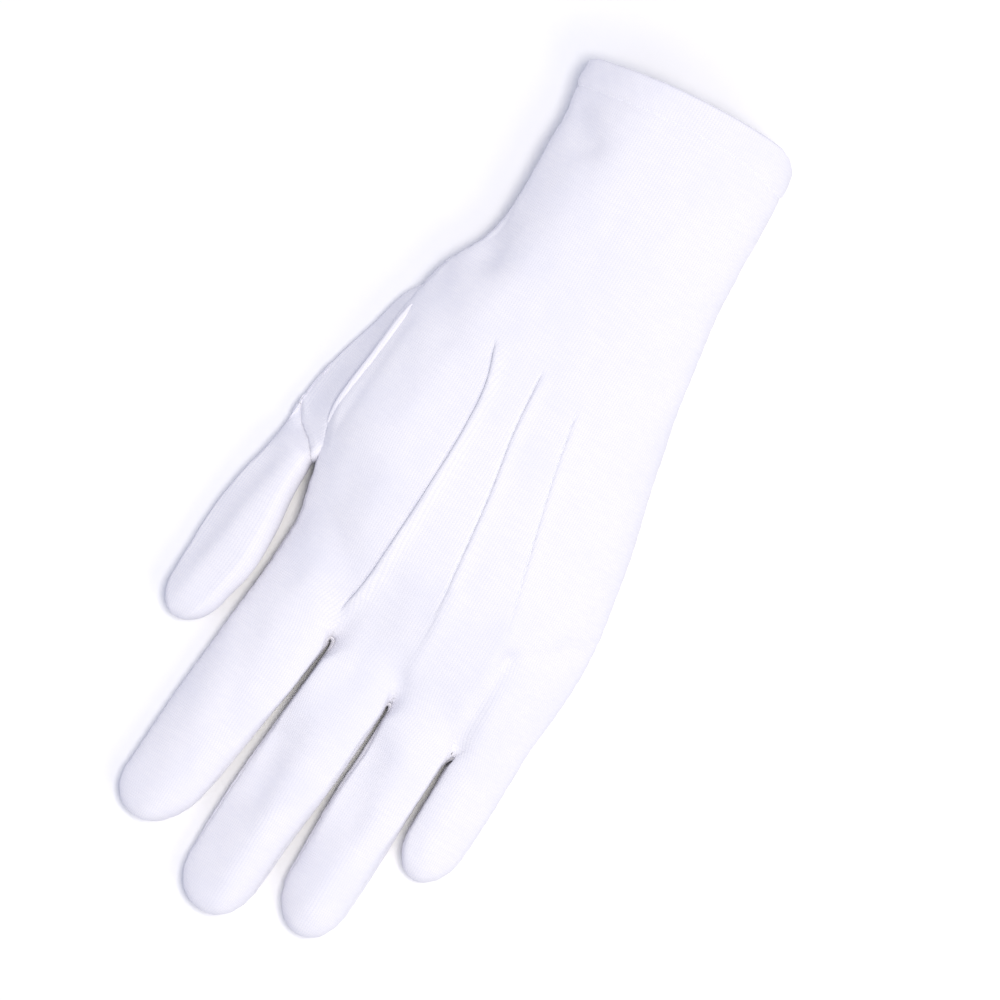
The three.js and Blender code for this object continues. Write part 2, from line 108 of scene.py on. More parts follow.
# Each digit: its tip, the web beside it, how far it is spread while the skin is made, and sections
# with their centre, half width, lowest and highest point.
digits = {
    "index": dict(tip=-239.1, tipCenter=-31.6, web=-168, spread=-0.45, rows=[
        (-126, -20.0, 10.5, 1, 19),
        (-148, -22.1, 12.9, -2.5, 18.5),
        (-169, -23.1, 13.2, -2, 15.5),
        (-185, -24.8, 12.8, -2, 15.2),
        (-205, -27.2, 12.1, -2, 15.2),
        (-226, -29.4, 10.9, -2, 14.4)]),
    "middle": dict(tip=-252.1, tipCenter=-3.6, web=-172, spread=-0.15, rows=[
        (-148, 1.5, 11.8, -2.5, 20),
        (-169, 1.3, 11.2, -2, 16),
        (-185, 0.4, 11.3, -2, 15.4),
        (-205, -1.1, 11.4, -2, 15.2),
        (-225, -2.5, 10.9, -2, 15),
        (-239, -3.3, 10.6, -2, 14.4)]),
    "ring": dict(tip=-243.9, tipCenter=22.8, web=-177, spread=0.15, rows=[
        (-148, 23.4, 11.4, -2.5, 20),
        (-169, 23.2, 11.0, -2, 16),
        (-178, 23.1, 10.6, -2, 15),
        (-190, 22.7, 10.2, -2, 14.6),
        (-212, 22.0, 10.3, -2, 14.6),
        (-230, 21.8, 9.8, -2, 13.8)]),
    "little": dict(tip=-215, tipCenter=42, web=-177.5, spread=0.45, rows=[
        (-112, 36.0, 8.0, 3, 19),
        (-128, 40.0, 9.6, -0.5, 19.5),
        (-144, 42.0, 10.2, -2.4, 19),
        (-160, 42.0, 9.7, -2, 16),
        (-180, 42.5, 9.0, -2, 13.6),
        (-192, 42.6, 8.7, -2, 13.4),
        (-203, 42.2, 8.4, -2, 12.8)]),
    "thumb": dict(tip=-187.1, tipCenter=-49.5, web=0, spread=0, rows=[
        (-66, -26.0, 4.0, 4, 12),
        (-79, -33.5, 7.0, 0, 13),
        (-91, -37.0, 7.3, -2, 13.5),
        (-104, -39.2, 9.0, -2, 14.5),
        (-117, -41.2, 9.2, -2, 15.5),
        (-128, -44.3, 6.9, -2, 16),
        (-135, -45.7, 6.5, -2, 16),
        (-142, -46.6, 7.3, -2, 16),
        (-153, -46.9, 8.8, -2, 16),
        (-166, -47.2, 9.2, -2, 15.5),
        (-176, -48.3, 8.0, -2, 14.8)]),
}
for digit in digits.values():
    digit["rows"] = table("y center half low high", digit["rows"])
fingers = ["index", "middle", "ring", "little"]


# Reads one column of a table at any y, on a smooth curve through its rows.
def columnAt(rows, column, y):
    stations = np.array([row["y"] for row in rows], float)[::-1]
    values = np.array([row[column] for row in rows], float)[::-1]
    slopes = np.gradient(values, stations)
    i = np.clip(np.searchsorted(stations, y) - 1, 0, len(stations) - 2)
    span = stations[i + 1] - stations[i]
    t = np.clip((y - stations[i]) / span, 0, 1)
    start = (1 + 2 * t) * (1 - t) ** 2 * values[i] + t * (1 - t) ** 2 * span * slopes[i]
    end = t * t * (3 - 2 * t) * values[i + 1] + t * t * (t - 1) * span * slopes[i + 1]
    return start + end


# The same on straight lines, for a table whose key grows from row to row.
def straightAt(rows, key, column, place):
    return np.interp(place, [row[key] for row in rows], [row[column] for row in rows])


def smoothStep(low, high, x):
    t = np.clip((x - low) / (high - low), 0, 1)
    return t * t * (3 - 2 * t)


def bump(x, width):
    return np.exp(-(x / width) ** 2)


# Centre and half width of a digit's section at y, then its middle and half height.
def digitSection(name, y):
    digit = digits[name]
    rows = digit["rows"]
    bend = rows[-1]["y"]
    past = np.clip((bend - y) / (bend - digit["tip"]), 0, 1)
    blunt = 3.2   # the tip is round seen from above, at 2, and blunter than that from the side
    scale = np.sqrt(np.maximum(1 - past ** 2, 1e-6))
    plump = np.maximum(1 - past ** blunt, 1e-4) ** (1 / blunt)
    inRows = np.maximum(y, bend)
    center = columnAt(rows, "center", inRows) + past * (digit["tipCenter"] - rows[-1]["center"])
    low, high = columnAt(rows, "low", inRows), columnAt(rows, "high", inRows)
    half = columnAt(rows, "half", inRows)
    return center, half * scale, (low + high) / 2, (high - low) / 2 * plump


def handSection(y):
    left, right = columnAt(handRows, "left", y), columnAt(handRows, "right", y)
    low, high = columnAt(handRows, "low", y), columnAt(handRows, "high", y)
    return (left + right) / 2, (right - left) / 2, (low + high) / 2, (high - low) / 2


# The station of the hand's slanted sections that a point lies on.
def handStation(co):
    station = co[:, 1].copy()
    for _ in range(4):   # the slant changes slowly, so a few steps find the station
        slant = columnAt(handRows, "slant", np.clip(station, handRows[-1]["y"], handRows[0]["y"]))
        station = co[:, 1] + slant * (co[:, 0] - glove["slantX"])
    return station


# 1 on a body's surface, less inside it and more outside.
def bodyValue(name, co):
    beyond = 0.2   # how fast the value grows past a body's ends
    if name == "hand":
        station = handStation(co)
        section = handSection(np.clip(station, handRows[-1]["y"], handRows[0]["y"]))
        past = np.maximum(handRows[-1]["y"] - station, 0)
    else:
        section = digitSection(name, co[:, 1])
        past = np.maximum(co[:, 1] - digits[name]["rows"][0]["y"], 0)
        past = past + np.maximum(digits[name]["tip"] - co[:, 1], 0)
    center, half, middle, reach = section
    power = glove["roundness"]
    value = np.abs((co[:, 0] - center) / half) ** power + np.abs((co[:, 2] - middle) / reach) ** power
    return value ** (1 / power) + beyond * past


# Which body each point belongs to: 0 is the hand, 1 to 4 the fingers.
def bodyOf(co):
    return np.argmin([bodyValue(name, co) for name in ["hand"] + fingers], axis=0)


def spreadAt(name, y):
    digit = digits[name]
    return digit["spread"] * np.maximum(digit["web"] - y, 0)


# Height of a section's rounded profile at a share of its half width.
def arch(share):
    power = glove["roundness"]
    return (1 - np.minimum(np.abs(share), 1) ** power) ** (1 / power)


# Points round a section, with flattened sides.
def sectionPoints(section, sides):
    center, half, middle, reach = section
    turn = np.linspace(0, 2 * math.pi, sides, endpoint=False)
    power = 2 / glove["roundness"]
    across = np.sign(np.cos(turn)) * np.abs(np.cos(turn)) ** power
    up = np.sign(np.sin(turn)) * np.abs(np.sin(turn)) ** power
    return center + half * across, middle + reach * up


def handRings(step, sides):
    rings = []
    for y in np.arange(handRows[0]["y"], handRows[-1]["y"] - 0.1, -step):
        x, z = sectionPoints(handSection(y), sides)
        slant = columnAt(handRows, "slant", y)
        rings.append(np.stack([x, y - slant * (x - glove["slantX"]), z], axis=1))
    return rings


def digitRings(name, step, sides):
    digit = digits[name]
    bend = digit["rows"][-1]["y"]
    tipTurns = np.linspace(0, math.pi / 2, 12)[1:] * 0.985   # denser towards the tip, just short of it
    stations = list(np.arange(digit["rows"][0]["y"], bend + 0.1, -step)) + [bend]
    stations += list(bend + (digit["tip"] - bend) * np.sin(tipTurns))
    rings = []
    for y in stations:
        x, z = sectionPoints(digitSection(name, y), sides)
        rings.append(np.stack([x + spreadAt(name, y), np.full(sides, y), z], axis=1))
    return rings


# A closed body through its sections.
def addLoft(bm, rings):
    rows = [[bm.verts.new(point) for point in points] for points in rings]
    sides = len(rows[0])
    for upper, lower in zip(rows, rows[1:]):
        for i in range(sides):
            j = (i + 1) % sides
            bm.faces.new((upper[i], upper[j], lower[j], lower[i]))
    bm.faces.new(rows[0][::-1])
    bm.faces.new(rows[-1])


def readCo(bm):
    bm.verts.ensure_lookup_table()
    bm.verts.index_update()
    return np.array([vert.co[:] for vert in bm.verts])


def writeCo(bm, co):
    for vert, point in zip(bm.verts, co):
        vert.co = point


def readNormals(bm):
    bm.normal_update()
    return np.array([vert.normal[:] for vert in bm.verts])


def edgeEnds(bm):
    bm.edges.ensure_lookup_table()
    return np.array([(edge.verts[0].index, edge.verts[1].index) for edge in bm.edges])


def faceCenters(bm):
    bm.faces.ensure_lookup_table()
    return np.array([face.calc_center_median()[:] for face in bm.faces])


def dropFaces(bm, gone):
    faces = [bm.faces[i] for i in np.flatnonzero(gone)]
    bmesh.ops.delete(bm, geom=faces, context="FACES")


# Smooths points towards their neighbours. Weight says how much at each point, and a second
# push outwards keeps the form's size.
def relax(co, ends, rounds, weight=1.0, keepSize=False):
    count = len(co)
    a, b = ends.T
    degree = np.maximum(np.bincount(a, minlength=count) + np.bincount(b, minlength=count), 1)
    amount = np.broadcast_to(np.asarray(weight, float), count)[:, None]
    for _ in range(rounds):
        for push in ((0.5, -0.52) if keepSize else (0.5,)):
            total = np.stack([np.bincount(a, co[b, k], count) + np.bincount(b, co[a, k], count)
                              for k in range(3)], axis=1)
            co = co + push * amount * (total / degree[:, None] - co)
    return co


# Joins overlapping closed bodies into one skin.
def fuse(bm):
    mesh = bpy.data.meshes.new("lofts")
    bm.to_mesh(mesh)
    bm.free()
    lofts = bpy.data.objects.new("lofts", mesh)
    bpy.context.scene.collection.objects.link(lofts)
    skin = lofts.modifiers.new("skin", "REMESH")
    skin.mode = "VOXEL"
    skin.voxel_size = glove["voxel"]
    fused = lofts.evaluated_get(bpy.context.evaluated_depsgraph_get()).to_mesh()
    made = bmesh.new()
    made.from_mesh(fused)
    bpy.data.objects.remove(lofts)
    bpy.data.meshes.remove(mesh)
    return made


# Lets a body settle: what lies below the surface is pressed flat, with a soft edge.
def settle(z, softness=0.5):
    return (z + np.sqrt(z * z + 4 * softness ** 2)) / 2 - softness * 0.08


def makeHandSkin():
    bm = bmesh.new()
    addLoft(bm, handRings(glove["handStep"], glove["handSides"]))
    for name in fingers:
        addLoft(bm, digitRings(name, glove["fingerStep"], glove["fingerSides"]))
    bm = fuse(bm)
    co = readCo(bm)
    ends = edgeEnds(bm)
    # each finger goes back to its place from where it was spread
    values = [bodyValue("hand", co)]
    for name in fingers:
        values.append(bodyValue(name, co - np.outer(spreadAt(name, co[:, 1]), (1, 0, 0))))
    owner = np.argmin(values, axis=0)
    for i, name in enumerate(fingers):
        co[:, 0] -= np.where(owner == i + 1, spreadAt(name, co[:, 1]), 0)
    co = relax(co, ends, glove["smoothRounds"], keepSize=True)
    knuckles = bump(handStation(co) - glove["knuckleY"], glove["knuckleWidth"])
    knuckles = knuckles * smoothStep(4, 9, co[:, 2])
    co = relax(co, ends, glove["knuckleRounds"], knuckles)
    writeCo(bm, co)
    return bm


def makeThumbSkin():
    bm = bmesh.new()
    addLoft(bm, digitRings("thumb", glove["voxel"], glove["thumbSides"]))
    return bm


# Cuts the faces along the line where a field is zero, so that a seam or a fold runs true.
def scoreAlong(bm, field, where=None, near=0.06):
    co = readCo(bm)
    value = field(co)
    value = np.where(np.abs(value) < near, 0, value)
    inside = where(co) if where else np.ones(len(co), bool)
    a, b = edgeEnds(bm).T
    crossing = np.flatnonzero((value[a] * value[b] < 0) & inside[a] & inside[b])
    fresh = [bm.verts[i] for i in np.flatnonzero((value == 0) & inside)]
    for edge in [bm.edges[i] for i in crossing]:
        start, end = edge.verts
        share = value[start.index] / (value[start.index] - value[end.index])
        fresh.append(bmesh.utils.edge_split(edge, start, share)[1])
    bmesh.ops.connect_verts(bm, verts=fresh)


print("making the skins")
hand = makeHandSkin()
thumb = makeThumbSkin()
print("hand skin", len(hand.verts), "points, thumb", len(thumb.verts))


# Pushes new strips of cloth out of an open edge; place says where each strip's points go.
def growEdge(bm, edges, strips, place):
    mark = bm.verts.layers.int.get("grown") or bm.verts.layers.int.new("grown")
    bm.verts.index_update()
    starts = sorted({vert for edge in edges for vert in edge.verts}, key=lambda vert: vert.index)
    for i, vert in enumerate(starts):
        vert[mark] = i
    for strip in range(strips):
        made = bmesh.ops.extrude_edge_only(bm, edges=edges)["geom"]
        verts = {item for item in made if isinstance(item, bmesh.types.BMVert)}
        edges = [item for item in made if isinstance(item, bmesh.types.BMEdge)
                 and item.verts[0] in verts and item.verts[1] in verts]
        for vert in verts:
            vert.co = place(vert[mark], strip)


# The cuff: its hem, and the slit on the palm side with a flap that laps over an underlap.
cuff = {
    "hemSwell": 0.4,        # the doubled cloth stands out this far
    "turnedIn": 8,          # depth of the turned-in cloth
    "fold": 0.75,           # radius of a folded edge
    "stitchGroove": 0.45,
    "slitX": 10.7, "slitY": -42, "slitHalfWidth": 7.3, "slitHalfLength": 12.2,
    "flapEnd": -30.5,       # the flap's edge meets the slit's opening here
    "lift": 4.2, "liftFull": -20, "liftNone": -45,   # how far and where the underlap lies inside
    "underlapEdge": -9,     # hidden under the flap
    "underlapStrips": 12,
    "outerBelow": 3.6,      # the palm side's outer cloth lies lower than this at the mouth
    "ripple": 0.04, "rippleLength": 4.6,   # the hem's stitching draws the cloth in small waves
    "pressed": 0.5,         # share of the hem's relief that is pressed away on the back,
    "pressedX": (-20, -4),  # none of it before the first x, all of it from the second
}

# The mouth's edge and the stitch line, across the cuff.
hemRows = table("x edge line", [
    (-60, -3, -9.6),
    (-33, -3, -9.4),
    (-31.2, -1.6, -8.8),
    (-29, -0.2, -7.9),
    (-20, 1.4, -6.6),
    (-10, 2.9, -5.1),
    (0, 3.9, -4.2),
    (11.4, 4.5, -3.7),
    (20, 4.5, -4.2),
    (25.7, 4.1, -5.2),
    (29, 2.9, -6.0),
    (31, 1.1, -6.5),
    (33, -1.8, -6.9),
    (60, -1.8, -6.9),
])

flapEdge = table("y x", [(20, 0), (1, 3), (-6, 8), (-12, 10.5),
                         (-18, 11.3), (-23, 11), (-29, 9), (-34, 8)])


def hemAt(column, x):
    return straightAt(hemRows, "x", column, x)


def lapLift(y):
    return cuff["lift"] * smoothStep(cuff["liftNone"], cuff["liftFull"], y)


def pastFlap(co):
    return co[:, 0] - columnAt(flapEdge, "x", co[:, 1])


# Rough distance from the edge of the slit's rounded opening, less than 0 inside it.
def pastSlit(co):
    dx, dy = co[:, 0] - cuff["slitX"], co[:, 1] - cuff["slitY"]
    share = np.maximum(np.hypot(dx / cuff["slitHalfWidth"], dy / cuff["slitHalfLength"]), 1e-3)
    return np.hypot(dx, dy) * (1 - 1 / share)


def palmSide(co):
    return co[:, 2] < glove["midHeight"]


# True for points on the little finger's side of the flap's edge and the slit.
def underlapSide(co):
    return np.where(co[:, 1] > cuff["flapEnd"], pastFlap(co) > 0, co[:, 0] > cuff["slitX"])


# Height of the palm side's cloth at the cuff, lifted where it laps under.
def lapHeight(x, y):
    center, half, middle, reach = handSection(y)
    low = middle - reach * arch((x - center) / half)
    return low + lapLift(y) * (middle - low) / reach


def cutCuff(bm):
    scoreAlong(bm, lambda co: co[:, 1] - hemAt("edge", co[:, 0]))
    centers = faceCenters(bm)
    dropFaces(bm, centers[:, 1] > hemAt("edge", centers[:, 0]))
    scoreAlong(bm, lambda co: co[:, 1] - hemAt("line", co[:, 0]))
    # the slit's opening, then the cut from it to the mouth
    scoreAlong(bm, pastSlit, lambda co: palmSide(co) & (np.abs(pastSlit(co)) < 4))
    centers = faceCenters(bm)
    dropFaces(bm, (pastSlit(centers) < 0) & palmSide(centers))
    onFlapLine = lambda co: palmSide(co) & (co[:, 1] > cuff["flapEnd"] - 1)
    scoreAlong(bm, pastFlap, onFlapLine)
    co = readCo(bm)
    onLine = (np.abs(pastFlap(co)) < 0.08) & onFlapLine(co)
    line = [edge for edge in bm.edges if onLine[edge.verts[0].index] and onLine[edge.verts[1].index]]
    # faces that lie wholly on the line would come loose as slivers
    slivers = [face for face in bm.faces if all(onLine[vert.index] for vert in face.verts)]
    bmesh.ops.split_edges(bm, edges=line)
    bmesh.ops.delete(bm, geom=[face for face in slivers if face.is_valid], context="FACES")


# The side of the slit towards the little finger goes inside the flap.
def liftUnderlap(bm):
    mark = bm.verts.layers.int.new("flapEdge")
    co = readCo(bm)
    lapped = underlapSide(co)
    for vert in bm.verts:
        if vert.is_boundary and len(vert.link_faces) > 0:
            middle = sum((face.calc_center_median() for face in vert.link_faces), Vector())
            lapped[vert.index] = underlapSide(np.array([middle[:]]) / len(vert.link_faces))[0]
    _, _, middle, reach = handSection(np.clip(co[:, 1], -60, 14))
    share = np.clip((middle - co[:, 2]) / reach, 0, 1)
    onLine = palmSide(co) & (np.abs(pastFlap(co)) < 0.1) & (co[:, 1] > cuff["flapEnd"])
    onSlit = palmSide(co) & (np.abs(pastSlit(co)) < 0.2)
    # the flap's side of the slit goes a little way round its lower end
    turned = ~lapped | (co[:, 1] < -50) & (co[:, 0] < cuff["slitX"] + 2.2)
    for i in np.flatnonzero((onLine | onSlit) & turned):
        bm.verts[i][mark] = 1
    onEdge = onLine & lapped
    co[:, 2] += np.where(lapped, lapLift(co[:, 1]) * share, 0)
    writeCo(bm, co)
    edges = [edge for edge in bm.edges
             if edge.is_boundary and onEdge[edge.verts[0].index] and onEdge[edge.verts[1].index]]
    starts = sorted({vert.index for edge in edges for vert in edge.verts})
    strips = cuff["underlapStrips"]

    def place(i, strip):
        x, y = co[starts[i], :2]
        x = x + (cuff["underlapEdge"] - x) * (strip + 1) / strips
        return Vector((x, y, lapHeight(x, y)))

    growEdge(bm, edges, strips, place)
    bmesh.ops.recalc_face_normals(bm, faces=bm.faces)


# Turns the mouth and the flap's edge to the inside: round a small fold and back along the cloth.
def turnInHems(bm):
    co = readCo(bm)
    mouth = co[:, 1] > hemAt("edge", co[:, 0]) - 2
    mark = bm.verts.layers.int["flapEdge"]
    flap = np.array([vert[mark] for vert in bm.verts]) == 1
    edges = [edge for edge in bm.edges if edge.is_boundary
             and ((mouth[edge.verts[0].index] and mouth[edge.verts[1].index])
                  or (flap[edge.verts[0].index] and flap[edge.verts[1].index]))]
    edges = [edge for edge in edges if edge.verts[0].co.x > cuff["underlapEdge"] + 0.5
             or edge.verts[0].co.z < cuff["outerBelow"]
             or not palmSide(np.array([edge.verts[0].co[:]]))[0]]
    starts = sorted({vert.index for edge in edges for vert in edge.verts})
    number = {index: i for i, index in enumerate(starts)}
    inward = -readNormals(bm)[starts]
    off = np.zeros((len(starts), 3))
    for edge in edges:
        face = edge.link_faces[0]
        side = (edge.verts[1].co - edge.verts[0].co).cross(face.normal).normalized()
        if side.dot(face.calc_center_median() - edge.verts[0].co) > 0:
            side.negate()
        for vert in edge.verts:
            off[number[vert.index]] += side
    ends = np.array([[number[vert.index] for vert in edge.verts] for edge in edges])
    off = relax(off, ends, 12)
    off[:, 1] += np.linalg.norm(off, axis=1) * mouth[starts]
    inward = relax(inward, ends, 6)
    off /= np.linalg.norm(off, axis=1)[:, None]
    inward -= (inward * off).sum(1)[:, None] * off
    inward /= np.linalg.norm(inward, axis=1)[:, None]
    fold = cuff["fold"]
    turns = [math.radians(angle) for angle in (30, 60, 90, 120, 150, 180)]
    path = [(fold * math.sin(turn), fold * (1 - math.cos(turn))) for turn in turns]
    path += [(-cuff["turnedIn"] * share, 2 * fold) for share in (0.25, 0.5, 0.75, 1)]   # out, in
    outside = BVHTree.FromBMesh(bm)
    before, reach = 3.5, 6   # a ray towards the cloth starts this far outside, and looks this far
    strips = []
    for out, into in path:
        moves = off * out + inward * into
        for i in range(len(starts) if out < 0 else 0):   # past the fold it follows the cloth
            start, aim = Vector(co[starts[i]]), Vector(inward[i])
            found, normal, _, _ = outside.ray_cast(start + Vector(moves[i]) - aim * before, aim, reach)
            if found is not None and normal.dot(aim) < -0.5:
                moves[i] = found - normal * into - start
        strips.append(co[starts] + relax(moves, ends, 6))
    growEdge(bm, edges, len(path), lambda i, strip: strips[strip][i])


# Seams between the panels.
seams = {
    "sides": table("y z", [(20, 15), (-60, 14), (-85, 12.5), (-130, 12), (-165, 6.5), (-260, 6.5)]),
    "stripHeight": 6.2,       # the strips between the fingers run at this height
    "stripHalf": 3,
    "stripShort": 8,          # they end this far from the fingertip
    "stripTaper": 16,         # and narrow over this length
    "webFrom": -166.5,        # the web's cloth starts at this station of the hand,
    "pastWeb": 5,             # and the fingers' strips this far past their webs
    "depth": 0.4,             # the sewn line pulls the cloth in
    "pucker": 0.09,           # small gathers beside it
    "puckerLength": 4.2,
    "depthWidth": 0.9, "puckerWidth": 2.6,
    "thumbStep": 0.35,        # the gusset's edge laps a little over the thumb
}

thumbJoin = table("x y", [(-56, -117), (-50.5, -120.5), (-48, -124.5),
                          (-44, -127), (-41, -130), (-35, -137)])

panelNames = ["back_panel", "palm_panel", "fourchette_index_middle", "fourchette_middle_ring",
              "fourchette_ring_little", "thumb", "thumb_gusset"]


def aboveSides(co):
    stations = [-row["y"] for row in seams["sides"]]
    return co[:, 2] - np.interp(-co[:, 1], stations, [row["z"] for row in seams["sides"]])


# The sides of the fingers that face each other, with the web between them.
def facingSide(co):
    owner = bodyOf(co)
    found = (owner == 0) & (handStation(co) < seams["webFrom"])
    for i, name in enumerate(fingers):
        center = digitSection(name, co[:, 1])[0]
        mine = (owner == i + 1) & (co[:, 1] < digits[name]["web"] + seams["pastWeb"])
        mine &= co[:, 1] > digits[name]["tip"] + seams["stripShort"]
        if name == "index":
            mine &= co[:, 0] > center
        if name == "little":
            mine &= co[:, 0] < center
        found |= mine
    return found


# Distance from the edge of a strip between two fingers, less than 0 inside it.
def pastStrip(co):
    tips = np.array([longestTip] + [digits[name]["tip"] for name in fingers])[bodyOf(co)]
    share = (co[:, 1] - tips - seams["stripShort"]) / seams["stripTaper"]
    half = seams["stripHalf"] * np.sqrt(np.clip(share, 0.0004, 1))
    return np.abs(co[:, 2] - seams["stripHeight"]) - half


def pastThumbJoin(co):
    return co[:, 1] - straightAt(thumbJoin, "x", "y", co[:, 0])


# Where the thumb grows out of the hand.
def byThumb(co):
    return (co[:, 0] < -20) & (co[:, 1] < -66) & (co[:, 1] > -160)


# Opens the hand where the thumb comes out of it, and the thumb where it goes in. A strip of the
# thumb's cloth stays inside the hand as its seam allowance.
def joinThumb(handMesh, thumbMesh):
    millimetres = 8   # a body's value grows by 1 in about this far
    scoreAlong(handMesh, lambda co: (bodyValue("thumb", co) - 1) * millimetres, byThumb)
    centers = faceCenters(handMesh)
    dropFaces(handMesh, byThumb(centers) & (bodyValue("thumb", centers) < 1))
    scoreAlong(thumbMesh, lambda co: (bodyValue("hand", co) - 1) * millimetres)
    centers = faceCenters(thumbMesh)
    dropFaces(thumbMesh, bodyValue("hand", centers) < 0.9)
    scoreAlong(thumbMesh, pastThumbJoin)


# Draws the edge of the hand's opening onto the thumb, with the cloth beside it.
def closeThumbSeam(handMesh, thumbMesh):
    reach = 3.5      # how far the cloth beside the edge follows
    fade = 1.2       # and how fast the pull of one place on the edge fades
    sunk = 0.15      # the edge goes this far into the thumb's cloth
    beside = 1.6     # the thumb's value for the cloth next to it is lower than this
    tree = BVHTree.FromBMesh(thumbMesh)
    co = readCo(handMesh)
    near = np.flatnonzero(byThumb(co) & (bodyValue("thumb", co) < beside))
    edge = [i for i in near if handMesh.verts[i].is_boundary]
    moves = []
    for i in edge:
        place, normal, _, _ = tree.find_nearest(Vector(co[i]))
        moves.append((place - normal * sunk)[:] - co[i])
    moves = np.array(moves)
    for i in near:
        gone = np.linalg.norm(co[edge] - co[i], axis=1)
        weight = bump(gone, fade)[:, None] + 1e-12
        follow = smoothStep(reach, 0, gone.min())
        handMesh.verts[i].co = co[i] + follow * (moves * weight).sum(0) / weight.sum()


def scoreSeams(bm):
    scoreAlong(bm, aboveSides)
    for side in (-1, 1):
        edge = lambda co: np.where((co[:, 2] - seams["stripHeight"]) * side > 0, pastStrip(co), -1)
        scoreAlong(bm, edge, facingSide)


# Writes on each face which panel of the glove it is cut from.
def nameFaces(bm, thumbSkin=False):
    panel = bm.faces.layers.int.new("panel")
    co = faceCenters(bm)
    if thumbSkin:
        ids = np.where(pastThumbJoin(co) > 0, 6, 5)
    else:
        middle, ring = (digitSection(name, co[:, 1])[0] for name in ("middle", "ring"))
        strip = np.where(co[:, 0] < middle, 2, np.where(co[:, 0] < ring, 3, 4))
        ids = np.where(aboveSides(co) > 0, 0, 1)
        ids = np.where(facingSide(co) & (pastStrip(co) < 0), strip, ids)
    for face, number in zip(bm.faces, ids):
        face[panel] = int(number)


print("cutting the panels")
joinThumb(hand, thumb)
scoreSeams(hand)
cutCuff(hand)
liftUnderlap(hand)

# The three raised points on the back: narrow sewn folds that lean towards the thumb.
points = {
    "profile": table("across shift rise", [
        (-1.3, 0, 0), (-0.5, 0.05, -0.4), (0, -0.4, 0.75), (0.5, -0.4, 1.25),
        (1.2, -0.15, 1.2), (2.2, 0, 0.6), (3.4, 0, 0.15), (4.8, 0, 0)]),
    "heights": [0.95, 0.52, 0.32],
    "above": 3, "reach": 7,     # only this far above the side seams, and beside the line
    "startTaper": 4,
    "endTapers": [7, 42, 42],   # the outer two fade long before they end
}

pointLines = [table("y x", rows) for rows in (
    [(-78.6, -13.6), (-88, -10.2), (-104, -8.5), (-118, -8.6), (-138, -9.3), (-154, -10.4),
     (-165, -12.5)],
    [(-79, 1.8), (-98, 3.6), (-114, 6.4), (-137, 9.3), (-152, 11), (-168, 12)],
    [(-83, 15), (-101, 18.6), (-114, 21.8), (-129, 25.7), (-145, 30), (-158, 32.6)])]


def acrossPoint(line, co):
    return co[:, 0] - columnAt(line, "x", co[:, 1])


def nearPoint(line, co):
    along = (co[:, 1] < line[0]["y"] + 1) & (co[:, 1] > line[-1]["y"] - 1)
    onBack = aboveSides(co) > points["above"]
    return along & onBack & (np.abs(acrossPoint(line, co)) < points["reach"])


def scorePoints(bm):
    for line in pointLines:
        for row in points["profile"][:-1]:
            scoreAlong(bm, lambda co: acrossPoint(line, co) - row["across"],
                       lambda co: nearPoint(line, co))


# How far each point of the cloth moves across and up for the raised points.
def pointMoves(co):
    shift, rise = np.zeros(len(co)), np.zeros(len(co))
    for line, height, taper in zip(pointLines, points["heights"], points["endTapers"]):
        fade = smoothStep(line[0]["y"] + 0.5, line[0]["y"] - points["startTaper"], co[:, 1])
        fade = fade * smoothStep(line[-1]["y"], line[-1]["y"] + taper, co[:, 1])
        weight = fade * height * (aboveSides(co) > points["above"])
        offset = acrossPoint(line, co)
        shift += weight * straightAt(points["profile"], "across", "shift", offset)
        rise += weight * straightAt(points["profile"], "across", "rise", offset)
    return shift, rise


